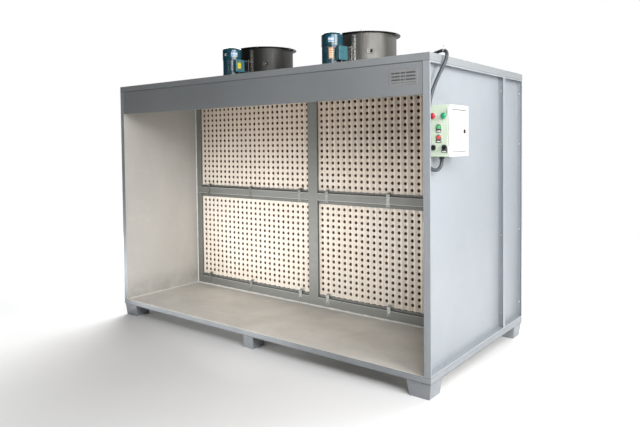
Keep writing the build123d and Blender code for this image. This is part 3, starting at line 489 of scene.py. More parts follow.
def painted(
    name, base, roughness=0.38, cloud=0.05, peel=0.00012, edge=0.35, grime=0.0, coat=0.0, seams=()
):
    """Sprayed paint: faint clouds, orange peel, uneven gloss, paler edges, dirt low down, dark seams."""
    look = Look(name, Coat_Weight=coat)
    clouds = look.ranged(look.noise(1.3, 4.0), 0.3, 0.7)
    tone = look.mixed(clouds, shade(base, 1 - cloud), shade(base, 1 + cloud))
    fine = look.ranged(look.noise(38, 5.0, 0.7), 0.45, 0.75, 0.0, 0.10)
    tone = look.mixed(fine, tone, shade(base, 0.72))
    if grime:
        low = look.ranged(look.along(2), *GRIME_HEIGHTS, grime, 0.0, smooth=True)
        dirt = look.math("MULTIPLY", low, look.ranged(look.noise(9, 6.0, 0.7), 0.35, 0.7))
        tone = look.mixed(dirt, tone, GRIME)
    if edge:
        patchy = look.ranged(look.noise(22, 4.0), 0.25, 0.6, 0.45, edge * 2)
        worn = look.math("MULTIPLY", look.edges(EDGE_RADIUS), patchy)
        tone = look.mixed(worn, tone, shade(base, 1.55))
    for axis, place, half in seams:
        seam = look.line(axis, place, half * 0.6, half, SEAM_STRENGTH)
        tone = look.mixed(seam, tone, shade(base, SEAM_SHADE))
    look.colour(tone)
    look.rough(look.ranged(look.noise(3.5, 5.0, 0.6), 0.3, 0.7, roughness - 0.06, roughness + 0.08))
    look.soft_edges(EDGE_RADIUS)
    look.bump(look.noise(420, 2.0), peel)
    return look


def metal(name, base, roughness=0.35, stretch=(1, 1, 60), grain=0.06, scale=14, spots=0.0):
    """Bare or plated metal with a drawn grain."""
    look = Look(name, metallic=1.0)
    lines = look.noise(scale, 6.0, 0.7, stretch=stretch)
    tone = look.mixed(look.ranged(lines, 0.3, 0.7), shade(base, 1 - grain), shade(base, 1 + grain))
    if spots:
        tone = look.mixed(look.ranged(look.noise(30, 5.0), 0.5, 0.75, 0, spots), tone, shade(base, 0.5))
    look.colour(tone)
    gloss = look.noise(scale, 5.0, 0.6, stretch=stretch)
    look.rough(look.ranged(gloss, 0.25, 0.75, roughness - 0.07, roughness + 0.1))
    look.soft_edges(0.0008)
    look.bump(lines, 0.00006)
    return look


def plastic(name, base, roughness=0.3, texture=0.00004, scale=900, cloud=0.04):
    """Moulded plastic with a fine skin and a little handling wear."""
    look = Look(name)
    clouds = look.ranged(look.noise(60, 4.0), 0.3, 0.7)
    tone = look.mixed(clouds, shade(base, 1 - cloud), shade(base, 1 + cloud))
    worn = look.math("MULTIPLY", look.edges(0.0008), 0.35)
    look.colour(look.mixed(worn, tone, shade(base, 1.5)))
    look.rough(look.ranged(look.noise(45, 4.0), 0.3, 0.7, roughness - 0.05, roughness + 0.08))
    look.soft_edges(0.0006)
    look.bump(look.noise(scale, 2.0), texture)
    return look


LOOKS = {}
FRAME_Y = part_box("filter_frame")[0][1]
LINING_END = FRAME_Y + 0.1  # the chamber's pale lining stops behind the filter frame
LINING_LOW_BAND = (0.165, 0.42)  # heights between which the lining's darkening towards the floor fades
REAR_TRAYS = 3
FLOOR_JOINT_X = RIGHT_X - 0.62
PAINT = srgb(148, 153, 158)  # the grey of every painted panel
FRONT_ROOF_PAINT = srgb(149, 153, 155)  # the same paint, less blue, which the front and roof take darkened as painted shade
FAN_SPREAD = abs(FAN_X["right"] - FAN_X["left"]) / 2
FAN_MIDDLE = (FAN_X["right"] + FAN_X["left"]) / 2


def side_paint():
    """Side wall paint outside, and the pale streaked lining of the spray chamber inside."""
    look = Look("side_panel", Coat_Weight=0.05)
    base = PAINT
    clouds = look.ranged(look.noise(1.1, 4.0), 0.3, 0.7)
    tone = look.mixed(clouds, shade(base, 0.965), shade(base, 1.035))
    streak = look.ranged(look.noise(3, 6.0, 0.7, stretch=(9, 9, 0.5)), 0.55, 0.8, 0, 0.14)
    tone = look.mixed(streak, tone, shade(base, 1.18))
    scuff = look.ranged(look.noise(26, 7.0, 0.75, stretch=(1, 1, 0.25)), 0.66, 0.74, 0, 0.22)
    tone = look.mixed(scuff, tone, shade(base, 0.72))
    worn = look.math("MULTIPLY", look.edges(0.0016), 0.55)
    tone = look.mixed(worn, tone, shade(base, 1.5))
    rear_lo, rear_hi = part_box("rear_panels")
    behind = look.math("GREATER_THAN", look.along(1), rear_lo[1])
    for tray in range(1, REAR_TRAYS):
        joint_x = rear_lo[0] + (rear_hi[0] - rear_lo[0]) * tray / REAR_TRAYS
        line = look.math("MULTIPLY", look.line(0, joint_x, 0.0015, 0.003, SEAM_STRENGTH), behind)
        tone = look.mixed(line, tone, shade(base, SEAM_SHADE))
    inside = look.math("LESS_THAN", look.off(0, MIDDLE_X), INNER_HALF + 0.0008)
    inside = look.math("MULTIPLY", inside, look.math("LESS_THAN", look.along(1), LINING_END))
    film = srgb(196, 193, 188)
    drift = look.ranged(look.noise(1.6, 5.0, 0.6, stretch=(1, 1, 0.45)), 0.3, 0.7)
    lining = look.mixed(drift, shade(film, 0.90), shade(film, 1.06))
    wiped = look.noise(5, 6.0, 0.65, stretch=(1, 0.5, 1.8), distortion=0.6)
    smear = look.ranged(wiped, 0.55, 0.8, 0, 0.35)
    lining = look.mixed(smear, lining, srgb(214, 214, 210))
    # The lining darkens in patches towards the floor.
    low = look.ranged(look.along(2), *LINING_LOW_BAND, 0.75, 0.0, smooth=True)
    low = look.math("MULTIPLY", low, look.ranged(look.noise(7, 6.0, 0.7), 0.35, 0.65))
    lining = look.mixed(low, lining, srgb(150, 150, 146))
    look.colour(look.mixed(inside, tone, lining))
    look.rough(look.ranged(look.noise(3.2, 5.0, 0.6), 0.3, 0.7, 0.36, 0.52))
    look.soft_edges(0.002)
    look.bump(look.noise(380, 2.0), 0.00012)
    return look


def floor_sheet():
    """Trodden sheet floor: pale, cloudy, with faint lengthwise scratches and sheet joints."""
    look = Look("floor_sheet", metallic=0.15)
    base = srgb(217, 214, 208)
    clouds = look.ranged(look.noise(2.2, 6.0, 0.62, distortion=0.4), 0.3, 0.7)
    tone = look.mixed(clouds, shade(base, 0.84), shade(base, 1.10))
    smears = look.ranged(look.noise(3.1, 6.0, 0.6, stretch=(0.5, 2.2, 1)), 0.52, 0.8, 0, 0.5)
    tone = look.mixed(smears, tone, srgb(205, 202, 196))
    scratch = look.ranged(look.noise(30, 8.0, 0.8, stretch=(5, 0.25, 1)), 0.66, 0.70, 0, 0.45)
    tone = look.mixed(scratch, tone, srgb(216, 214, 208))
    tone = look.mixed(look.line(0, FLOOR_JOINT_X, 0.0015, 0.004, 0.8), tone, srgb(216, 214, 210))
    look.colour(tone)
    look.rough(look.ranged(look.noise(6, 6.0), 0.3, 0.7, 0.34, 0.6))
    look.bump(look.noise(14, 5.0), 0.0012, 0.5)
    return look


def card(name):
    """Bleached card: cream on the flats, with faint stains, and browner towards its top as painted shade.
    """
    look = Look(name, roughness=0.85)
    base = srgb(238, 229, 217)
    fibres = look.ranged(look.noise(160, 5.0, 0.7, stretch=(1, 1, 0.3)), 0.3, 0.7)
    tone = look.mixed(fibres, shade(base, 0.94), shade(base, 1.03))
    stain = look.ranged(look.noise(1.7, 4.0, 0.6), 0.35, 0.7, 0, 0.28)
    tone = look.mixed(stain, tone, srgb(214, 196, 172))
    # Painted shade: the card turns browner towards its top.
    high = look.ranged(look.along(2), 1.2, 2.2, 0.0, 0.5, smooth=True)
    tone = look.mixed(high, tone, srgb(198, 174, 150))
    look.colour(tone)
    look.bump(look.noise(260, 4.0, 0.7), 0.00025)
    return look


def printed(name, ground, ink, pitch, share, metallic=0.0):
    """Wordless print: broken bars across a plain ground."""
    look = Look(name, metallic=metallic)
    row = look.math("FRACT", look.math("DIVIDE", look.along(2), pitch))
    bar = look.math("LESS_THAN", row, share)
    kept = look.ranged(look.noise(150, 2.0, stretch=(1, 1, 0.05)), 0.40, 0.44)
    tone = look.mixed(look.math("MULTIPLY", bar, kept), ground, ink)
    grubby = look.ranged(look.noise(55, 5.0), 0.45, 0.75, 0.0, 0.25)
    look.colour(look.mixed(grubby, tone, shade(ground, 0.7)))
    look.rough(look.ranged(look.noise(70, 4.0), 0.3, 0.7, 0.28, 0.45))
    return look


PLATE_PITCH = 0.0235
PLATE_MARGIN = 0.014


def plate_look():
    """Etched metal plate with broken bars in place of wording, and a plain margin."""
    look = Look("nameplate", metallic=0.35)
    lo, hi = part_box("nameplate")
    base, etched = srgb(160, 162, 162), srgb(90, 92, 93)
    height = look.math("SUBTRACT", look.along(2), lo[2])
    row = look.math("FRACT", look.math("DIVIDE", height, PLATE_PITCH))
    bar = look.math("LESS_THAN", look.math("ABSOLUTE", look.math("SUBTRACT", row, 0.5)), 0.22)
    kept = look.ranged(look.noise(95, 2.0, stretch=(1, 1, 0.05)), 0.36, 0.42)
    mask = look.math("MULTIPLY", bar, kept)
    for axis in (0, 2):
        middle, half = (lo[axis] + hi[axis]) / 2, (hi[axis] - lo[axis]) / 2
        within = look.math("LESS_THAN", look.off(axis, middle), half - PLATE_MARGIN)
        mask = look.math("MULTIPLY", mask, within)
    drawn = look.noise(14, 6.0, 0.7, stretch=(60, 1, 1))
    tone = look.mixed(look.ranged(drawn, 0.3, 0.7), shade(base, 0.88), shade(base, 1.1))
    look.colour(look.mixed(mask, tone, etched))
    look.rough(look.ranged(drawn, 0.3, 0.7, 0.34, 0.5))
    look.soft_edges(0.0008)
    look.bump(mask, 0.0002)
    return look


RAIL_SHADOW_LINES = (1.2225, 1.3005, 0.2605)  # heights of the painted shadow lines along the filter frame's rails, where the raised faces step back
RAIL_HIGHLIGHTS = (1.2285, 1.2950, 0.2540)  # heights of the painted highlights on the raised faces' edges beside them
STILE_HALF = (0.056, 0.060)  # half of the middle stile, and where the rails' lines are full


def frame_look():
    """Galvanised filter frame: grey, faintly spangled, pale on its edges, with painted shade on its
    set-back ledges and painted shadow and highlight lines along its rails.
    """
    look = Look("filter_frame", metallic=0.12)
    base = srgb(126, 127, 123)
    spangle = look.ranged(look.cells(130), 0.2, 0.8)
    tone = look.mixed(spangle, shade(base, 0.93), shade(base, 1.06))
    streak = look.ranged(look.noise(5, 6.0, 0.7, stretch=(0.4, 4, 4)), 0.5, 0.8, 0, 0.35)
    tone = look.mixed(streak, tone, shade(base, 1.35))
    # Painted shade: the set-back ledges are darkened.
    ledge_shade = look.ranged(look.along(1), FRAME_Y + 0.004, FRAME_Y + 0.018, 0.0, 0.55)
    tone = look.mixed(ledge_shade, tone, shade(base, 0.62))
    off_stile = look.ranged(look.off(0, MIDDLE_X), *STILE_HALF)
    # Painted shadow: dark lines where the rails' raised faces step back to their ledges.
    step_shadow = None
    for height in RAIL_SHADOW_LINES:
        line = look.line(2, height, 0.0015, 0.005, 0.75)
        step_shadow = line if step_shadow is None else look.math("MAXIMUM", step_shadow, line)
    tone = look.mixed(look.math("MULTIPLY", step_shadow, off_stile), tone, srgb(62, 63, 60))
    # Painted highlight: pale lines along the raised faces' edges.
    for height in RAIL_HIGHLIGHTS:
        line = look.math("MULTIPLY", look.line(2, height, 0.001, 0.003, 0.6), off_stile)
        tone = look.mixed(line, tone, srgb(214, 214, 208))
    worn = look.math("MULTIPLY", look.edges(0.002), 0.8)
    tone = look.mixed(worn, tone, srgb(205, 205, 200))
    look.colour(tone)
    look.rough(look.ranged(look.noise(11, 5.0, 0.6), 0.3, 0.7, 0.48, 0.64))
    look.soft_edges(0.002)
    look.bump(look.noise(60, 4.0), 0.00025)
    return look


CASING_R = 0.3095  # just outside the casings' walls
BARS_BACK = -0.262  # the motor bars stand in front of this, from the fans' axes
FLANGE_TOP = ROOF_Z + 0.012
RIM_Z = 2.8475


def fan_look():
    """Rolled dark steel with a black top flange and pale, chipped motor bars; the left fan is darkened as
    painted shade.
    """
    look = Look("fan_metal", metallic=0.72)
    base = srgb(111, 110, 106)
    drawn = look.noise(9, 5.0, 0.6, stretch=(3, 3, 0.3))
    tone = look.mixed(look.ranged(drawn, 0.3, 0.7), shade(base, 0.82), shade(base, 1.12))
    across = look.math("SUBTRACT", look.off(0, FAN_MIDDLE), FAN_SPREAD)
    back = look.math("SUBTRACT", look.along(1), FAN_Y)
    square = look.math("ADD", look.math("MULTIPLY", across, across), look.math("MULTIPLY", back, back))
    outside = look.math("GREATER_THAN", square, CASING_R ** 2)
    chips = look.ranged(look.noise(70, 4.0, 0.7), 0.43, 0.50)
    chipped = look.mixed(chips, srgb(60, 60, 62), srgb(205, 203, 196))
    bars = look.math("MULTIPLY", outside, look.math("LESS_THAN", back, BARS_BACK))
    bars = look.math("MULTIPLY", bars, look.math("GREATER_THAN", look.along(2), FLANGE_TOP))
    tone = look.mixed(bars, tone, chipped)
    rim = look.math("GREATER_THAN", look.along(2), RIM_Z)
    tone = look.mixed(rim, tone, srgb(34, 34, 36))
    # Painted shade: the left fan's steel is darkened.
    left_fan_shade = look.math("LESS_THAN", look.along(0), FAN_MIDDLE)
    tone = look.mixed(look.math("MULTIPLY", left_fan_shade, 0.7), tone, srgb(38, 38, 38))
    look.colour(tone)
    look.rough(look.ranged(look.noise(12, 5.0, 0.6, stretch=(1, 1, 0.2)), 0.3, 0.7, 0.44, 0.58))
    look.soft_edges(0.0012)
    look.bump(look.noise(300, 2.0), 0.0001)
    return look


# Seams: axis, place along it, half width.
ROOF_SEAMS = ((2, 2.3455, 0.003),)
HEADER_SEAMS = ((2, 2.3435, 0.003), (0, RIGHT_X - 0.0530, 0.003))
BASE_SEAMS = ((2, 0.1615, 0.003), (2, 0.1165, 0.004))
# Looks: name, base colour, settings that differ from the usual ones.
PAINTED = (
    # The roof panel and header take that paint darkened, as painted shade.
    ("roof_panel", shade(FRONT_ROOF_PAINT, 0.85), {"seams": ROOF_SEAMS}),
    ("header", shade(FRONT_ROOF_PAINT, 0.77), {"cloud": 0.06, "seams": HEADER_SEAMS}),
    ("base_steel", shade(PAINT, 0.93), {"grime": 0.3, "seams": BASE_SEAMS}),
    ("motor_teal", srgb(34, 78, 92), {"roughness": 0.26, "cloud": 0.10, "edge": 0.5, "coat": 0.3}),
    ("terminal_teal", srgb(70, 118, 128), {"roughness": 0.30, "cloud": 0.06, "coat": 0.3}),
    ("box_green", srgb(206, 220, 200), {"roughness": 0.42, "cloud": 0.03, "peel": 0.0002}),
    ("box_door", srgb(196, 198, 194), {"roughness": 0.42, "cloud": 0.02, "peel": 0.0002, "edge": 0.1}),
    # The two groove looks are painted shade: grey strips for the shade in the door's shallow grooves, the
    # top one darker.
    ("groove_top", srgb(84, 86, 86), {"edge": 0.0}),
    ("groove_low", srgb(126, 128, 126), {"edge": 0.0}),
    ("door_line", srgb(168, 170, 167), {"edge": 0.0}),
    ("key_tag", srgb(176, 168, 158), {"edge": 0.0}),
)
METALS = (
    ("zinc_fastener", srgb(196, 196, 192), {"roughness": 0.34, "spots": 0.4}),
    ("bearing_steel", srgb(150, 152, 156), {"roughness": 0.25}),
    ("impeller_alloy", srgb(186, 188, 190), {"roughness": 0.42, "stretch": (1, 1, 1), "spots": 0.2}),
    ("shaft_steel", srgb(150, 150, 154), {"roughness": 0.3, "stretch": (1, 1, 80)}),
    ("bezel", srgb(214, 214, 214), {"roughness": 0.25}),
    ("clip", srgb(152, 153, 149), {"roughness": 0.42, "stretch": (1, 1, 8), "spots": 0.35}),
)
PLASTICS = (
    ("belt_rubber", srgb(26, 26, 27), {"roughness": 0.75}),
    ("lock_black", srgb(34, 34, 37), {"roughness": 0.35}),
    ("device_plastic", srgb(208, 208, 204), {"roughness": 0.45}),
    ("button_red", srgb(176, 42, 54), {"roughness": 0.3}),
    ("button_green", srgb(24, 148, 106), {"roughness": 0.3}),
    ("lens_green", srgb(80, 190, 116), {"roughness": 0.22}),
    ("lens_red", srgb(232, 84, 74), {"roughness": 0.22}),
    ("knob_black", srgb(28, 28, 30), {"roughness": 0.25}),
    ("conduit", srgb(58, 62, 68), {"roughness": 0.33, "cloud": 0.1}),
    ("fitting", srgb(40, 41, 44), {"roughness": 0.4}),
    # The backing's dark brown is painted shade, for the shade seen through the front card's holes.
    ("pulp", srgb(106, 80, 60), {"roughness": 0.9, "texture": 0.0003, "scale": 180, "cloud": 0.25}),
    ("sealant", srgb(226, 226, 220), {"roughness": 0.5, "texture": 0.0003, "scale": 120, "cloud": 0.08}),
    ("legend_black", srgb(30, 30, 31), {"roughness": 0.4}),
    ("legend_white", srgb(232, 232, 228), {"roughness": 0.4}),
)
PRINTS = (  # name, ground, ink, pitch of the bars, their share of it, metallic
    ("sticker_blue", srgb(92, 158, 214), srgb(236, 234, 226), 0.030, 0.62, 0.0),
    ("sticker_orange", srgb(226, 158, 96), srgb(240, 228, 206), 0.021, 0.45, 0.0),
    ("sticker_yellow", srgb(240, 220, 40), srgb(60, 56, 30), 0.019, 0.16, 0.0),
    ("rating_plate", srgb(96, 108, 110), srgb(190, 196, 194), 0.018, 0.35, 0.2),
    ("door_print", srgb(188, 190, 186), srgb(188, 190, 186), 0.016, 0.5, 0.0),
)
NODE_LOOKS = {"filter_clips": "clip", "start_button": "lens_green", "stop_button": "lens_red"}


def make_looks():
    LOOKS["side_panel"] = side_paint()
    LOOKS["galvanised_sheet"] = floor_sheet()
    LOOKS["nameplate"] = plate_look()
    LOOKS["filter_frame"] = frame_look()
    LOOKS["fan_metal"] = fan_look()
    LOOKS["filter_card"] = card("filter_card")
    for make, table in ((painted, PAINTED), (metal, METALS), (plastic, PLASTICS)):
        for name, base, settings in table:
            LOOKS[name] = make(name, base, **settings)
    for name, *settings in PRINTS:
        LOOKS[name] = printed(name, *settings)


def dress_cad():
    for subpart in frame["record"]["subparts"]:
        node = frame["nodes"][subpart["node"]]
        look = LOOKS[NODE_LOOKS.get(subpart["node"], subpart["material_slot"])]
        node.data.materials.clear()
        node.data.materials.append(look.material)
    for hose in (left_hose, right_hose, main_hose):
        hose.data.materials.append(LOOKS["conduit"].material)


make_looks()
dress_cad()

# ---- perforated pleated filters -------------------------------------------------------------
PLEATS = 24
HOLE_R = 0.0158
BACK_HOLE_R = HOLE_R * 0.8
ROWS = 15
PLEAT_FRONT = FRONT_Y + 0.990
PLEAT_RISE = 0.022
BACK_GAP, BACK_RISE = 0.004, 0.03
CARD = 0.0016  # thickness of the card
HOLE_STEPS = 16
ROW_SPANS = {"upper": (1.362, 2.182), "lower": (0.333, 1.145)}  # heights of the first and last rows


def same(first, second):
    return abs(first - second) < TINY


def perforated_sheet(shape, x0, pitch, z_span, z_holes, depth_at, hole_r):
    """Pleated sheet with a round hole on every valley fold and row; depth_at maps x to y."""
    cache = {}

    def vertex(x, z):
        key = (round(x, 6), round(z, 6))
        if key not in cache:
            cache[key] = shape.verts.new((x, depth_at(x), z))
        return cache[key]

    def strip(xa, xb, za, zb):
        shape.faces.new((vertex(xa, za), vertex(xb, za), vertex(xb, zb), vertex(xa, zb)))

    def half_cell(centre_x, centre_z, sign, half_w, half_h):
        """Half of a square cell round half a hole, on one side of the fold."""
        rim, edge = [], []
        count = HOLE_STEPS // 2
        for step in range(count + 1):
            angle = math.pi * step / count
            dx, dz = math.sin(angle), math.cos(angle)
            rim.append((centre_x + sign * hole_r * dx, centre_z + hole_r * dz))
            reach = min(half_w / max(dx, TINY), half_h / max(abs(dz), TINY))
            edge.append((centre_x + sign * dx * reach, centre_z + dz * reach))
        corner_low = (centre_x + sign * half_w, centre_z - half_h)
        corner_top = (centre_x + sign * half_w, centre_z + half_h)
        for step in range(count):
            ring = [rim[step], edge[step], edge[step + 1], rim[step + 1]]
            for corner in (corner_top, corner_low):
                on_top = same(edge[step][1], corner[1]) and same(edge[step + 1][0], corner[0])
                on_side = same(edge[step][0], corner[0]) and same(edge[step + 1][1], corner[1])
                if (on_top or on_side) and edge[step] != corner and edge[step + 1] != corner:
                    ring.insert(2, corner)
            shape.faces.new([vertex(*point) for point in ring])

    pitch_z = z_holes[1] - z_holes[0]
    half_h = pitch_z / 2
    low_edge, top_edge = z_holes[0] - half_h, z_holes[-1] + half_h
    half_w = pitch / 2
    for index in range(PLEATS):
        fold_x = x0 + (index + 0.5) * pitch
        for centre_z in z_holes:
            for sign in (-1, 1):
                half_cell(fold_x, centre_z, sign, half_w, half_h)
        for sign in (-1, 1):
            xa, xb = sorted((fold_x, fold_x + sign * half_w))
            strip(xa, xb, z_span[0], low_edge)
            strip(xa, xb, top_edge, z_span[1])


def filter_sheet(name, shape, look):
    sheet = from_bmesh(name, shape)
    solid = sheet.modifiers.new("thickness", "SOLIDIFY")
    solid.thickness = CARD
    solid.offset = 0
    sheet.data.materials.append(LOOKS[look].material)
    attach(sheet, BOOTH)
    return sheet


def filter_panel(level, side):
    """Pleated front card, and the backing behind it whose holes lie between the front's; the backing is
    dark brown as painted shade seen through the holes.
    """
    node = f"filter_{level}_{side}"
    lo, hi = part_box(node)
    pitch = (hi[0] - lo[0]) / PLEATS
    first, last = ROW_SPANS[level]
    rows = [first + (last - first) * index / (ROWS - 1) for index in range(ROWS)]

    def front_depth(x):
        phase = ((x - lo[0]) / pitch) % 1.0
        return PLEAT_FRONT + PLEAT_RISE * (1 - abs(2 * phase - 1))

    def back_depth(x):
        phase = ((x - lo[0]) / pitch) % 1.0
        return hi[1] - BACK_GAP - BACK_RISE * abs(2 * phase - 1)

    shape = bmesh.new()
    perforated_sheet(shape, lo[0], pitch, (lo[2], hi[2]), rows, front_depth, HOLE_R)
    front = filter_sheet(f"{node}_card", shape, "filter_card")
    shape = bmesh.new()
    shifted = [z - (rows[1] - rows[0]) / 2 for z in rows[1:]]
    perforated_sheet(shape, lo[0], pitch, (lo[2], hi[2]), shifted, back_depth, BACK_HOLE_R)
    filter_sheet(f"{node}_backing", shape, "pulp")
    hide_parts(node)


for level in ("upper", "lower"):
    for side in ("left", "right"):
        filter_panel(level, side)


# ---- labels, legends, sealant and tie -------------------------------------------------------
def finish_piece(name, shape, body, look, smooth=None):
    piece = from_bmesh(name, shape, smooth)
    piece.data.materials.append(LOOKS[look].material)
    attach(piece, body)


def through_sections(shape, sections):
    """Closed solid through a row of like cross-sections."""
    bridge(shape, [[shape.verts.new(point) for point in section] for section in sections])


LABEL_THICK = 0.0004
LABEL_STEPS = 10
COWL_R = 0.1052  # just outside a motor's cowl
FIN_R = 0.1005  # just outside its cooling fins
WRAPPED_LABELS = (  # name, fan, radius, bearing in degrees from the X axis, width, heights, look
    ("cowl_sticker_right", "right", COWL_R, -59, 0.056, (2.742, 2.790), "sticker_blue"),
    ("cowl_sticker_left", "left", COWL_R, -31, 0.072, (2.738, 2.790), "sticker_blue"),
    ("rating_plate_right", "right", FIN_R, -60, 0.044, (2.588, 2.690), "sticker_orange"),
    ("rating_plate_left", "left", FIN_R, -40, 0.042, (2.588, 2.690), "rating_plate"),
    ("cowl_spot_left", "left", COWL_R, -88, 0.026, (2.747, 2.775), "legend_white"),
)


def wrapped_label(name, side, radius, bearing, width, z_span, look):
    """Label round part of a motor."""
    centre = fan_point(side, 0, -MOTOR_CENTRE, 0)
    sections = []
    for step in range(LABEL_STEPS + 1):
        angle = math.radians(bearing) + (step / LABEL_STEPS - 0.5) * width / radius
        out = Vector((math.cos(angle), math.sin(angle), 0))
        section = []
        for reach, z in ((0, 0), (1, 0), (1, 1), (0, 1)):
            spot = centre + out * (radius + reach * LABEL_THICK)
            section.append(Vector((spot.x, spot.y, z_span[z])))
        sections.append(section)
    shape = bmesh.new()
    through_sections(shape, sections)
    finish_piece(name, shape, BOOTH, look, smooth=40)


for label in WRAPPED_LABELS:
    wrapped_label(*label)


def terminal_label():
    """Yellow label on the lid of the left motor's terminal box."""
    face = fan_point("left", 0.1522, -MOTOR_CENTRE - 0.012, 2.636)
    shape = bmesh.new()
    plate(shape, axes_at(face, fan_way(0, 1), UP), (0.044, 0.064, LABEL_THICK), 0.004)
    finish_piece("terminal_label_left", shape, BOOTH, "sticker_yellow")


terminal_label()

CONTROL_FACE = FRONT_Y + 0.0775
LEGENDS = (  # name, node above it, that node's height
    ("start", "start_button", 1.892),
    ("stop", "stop_button", 1.821),
    ("selector", "selector_right", 1.752),
)
LEGEND_PARTS = (  # part, size, how far under its operator, how far in front of the box, look
    ("plate", (0.040, 0.0175, 0.0008), 0.0265, 0.0, "legend_black"),
    ("insert", (0.030, 0.0085, 0.0005), 0.0275, 0.0008, "legend_white"),
)


def legend(name, node, z):
    """Black legend plate with a white insert under an operator."""
    lo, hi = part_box(node)
    x = (lo[0] + hi[0]) / 2
    for part, size, drop, lift, look in LEGEND_PARTS:
        origin = Vector((x, CONTROL_FACE - lift, z - drop))
        shape = bmesh.new()
        plate(shape, axes_at(origin, (1, 0, 0), UP), size, 0.002)
        finish_piece(f"legend_{name}_{part}", shape, BOOTH, look)


for row in LEGENDS:
    legend(*row)

DOOR_LO, DOOR_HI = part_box("control_box_door")
DOOR_FACE = DOOR_HI[0]
DOOR_MIDDLE_Y = FRONT_Y + 0.2395
LABEL_Y = DOOR_MIDDLE_Y + 0.018
LABEL_WIDTH = 0.074
GROOVE = (0.222, 0.0062, 0.0003)
LABEL_LINE = (LABEL_WIDTH, 0.0016, 0.0006)
DOOR_PLATES = (  # name, place across and up the door, size, look
    # The two groove plates are painted shade, dark strips for the shade in the door's shallow grooves.
    ("door_groove_low", DOOR_MIDDLE_Y + 0.001, 1.722, GROOVE, "groove_low"),
    ("door_groove_top", DOOR_MIDDLE_Y + 0.001, 2.012, GROOVE, "groove_top"),
    ("door_label", LABEL_Y, 1.835, (LABEL_WIDTH, 0.130, 0.0004), "door_print"),
    ("door_label_line_low", LABEL_Y, 1.7695, LABEL_LINE, "door_line"),
    ("door_label_line_top", LABEL_Y, 1.9005, LABEL_LINE, "door_line"),
)


def door_plate(name, y, z, size, look):
    shape = bmesh.new()
    plate(shape, axes_at((DOOR_FACE, y, z), (0, 1, 0), UP), size, min(0.003, 0.45 * size[1]))
    finish_piece(name, shape, "box_door", look)


for row in DOOR_PLATES:
    door_plate(*row)

TAG_R, TAG_HOLE_R, TAG_THICK = 0.0165, 0.0035, 0.0011
TAG_Y, TAG_Z, TAG_GAP = DOOR_LO[1] + 0.292, 1.836, 0.0004
WIRE_R, WIRE_STEPS = 0.0007, 6
WIRE_FROM, WIRE_TO = Vector((0.0009, -0.003, 0.012)), Vector((0, -0.014, 0.024))


def key_tag():
    """Round tag that hangs on a wire beside the door's lock."""
    shape = bmesh.new()
    origin = Vector((DOOR_FACE + TAG_GAP, TAG_Y, TAG_Z))
    section = ((TAG_HOLE_R, 0), (TAG_R, 0), (TAG_R, TAG_THICK), (TAG_HOLE_R, TAG_THICK), (TAG_HOLE_R, 0))
    lathe(shape, axes_at(origin, (0, 1, 0), UP), section)
    bmesh.ops.remove_doubles(shape, verts=shape.verts, dist=1e-6)
    wire = [origin + WIRE_FROM.lerp(WIRE_TO, step / WIRE_STEPS) for step in range(WIRE_STEPS + 1)]
    swept_rings(shape, wire, [WIRE_R] * len(wire), count=8)
    finish_piece("key_tag", shape, "box_door", "key_tag", smooth=40)


key_tag()


BEAD_STEP = 0.04
BEAD_ANGLES = ((0, 1), (30, 0.82), (60, 0.82), (90, 1))  # section: angle in degrees, share of its width


def bead(name, start, end, toward, rise, width):
    """Bead of sealant along a corner, a little uneven, between two points."""
    start, end = Vector(start), Vector(end)
    toward, rise = Vector(toward), Vector(rise)
    count = max(8, round((end - start).length / BEAD_STEP))
    sections = []
    for step in range(count + 1):
        size = width * (1 + 0.22 * math.sin(17 * step / 9) * math.sin(5.3 * step / 11 + 1))
        spot = start.lerp(end, step / count)
        section = [spot]
        for angle, share in BEAD_ANGLES:
            out = toward * math.cos(math.radians(angle)) + rise * math.sin(math.radians(angle))
            section.append(spot + out * size * share)
        sections.append(section)
    shape = bmesh.new()
    through_sections(shape, sections)
    finish_piece(name, shape, BOOTH, "sealant", smooth=50)


WALL_LEFT, WALL_RIGHT = MIDDLE_X - INNER_HALF, MIDDLE_X + INNER_HALF
FRAME_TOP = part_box("filter_frame")[1][2]
FORWARD = (0, -1, 0)
corners = {"left": (WALL_LEFT, FRAME_Y, FLOOR_Z), "right": (WALL_RIGHT, FRAME_Y, FLOOR_Z)}
bead("bead_frame_floor", corners["left"], corners["right"], FORWARD, UP, 0.011)
for side, wall, way in (("left", WALL_LEFT, (1, 0, 0)), ("right", WALL_RIGHT, (-1, 0, 0))):
    near = (wall, FRONT_Y + 0.03, FLOOR_Z)
    bead(f"bead_wall_{side}", near, corners[side], way, UP, 0.008)
    bead(f"bead_frame_{side}", corners[side], (wall, FRAME_Y, FRAME_TOP), way, FORWARD, 0.007)

TIE_CREST = at(-4, 216, 2437)
TIE_STEPS, TAIL_STEPS = 32, 6
TIE_INNER, TIE_OUTER, TIE_HALF = CONDUIT_R + 0.0001, CONDUIT_R + 0.0014, 0.0024
TIE_TURN = 2 * math.pi * 0.99
TAIL_HALF, TAIL_RISE, TAIL_LEAN = 0.0006, 0.022, 0.010


def flat_section(spot, out, along, low, high):
    """Rectangle across a strap: from low to high along out, and as wide as the tie along it."""
    spans = ((low, -TIE_HALF), (high, -TIE_HALF), (high, TIE_HALF), (low, TIE_HALF))
    return [spot + out * r + along * w for r, w in spans]


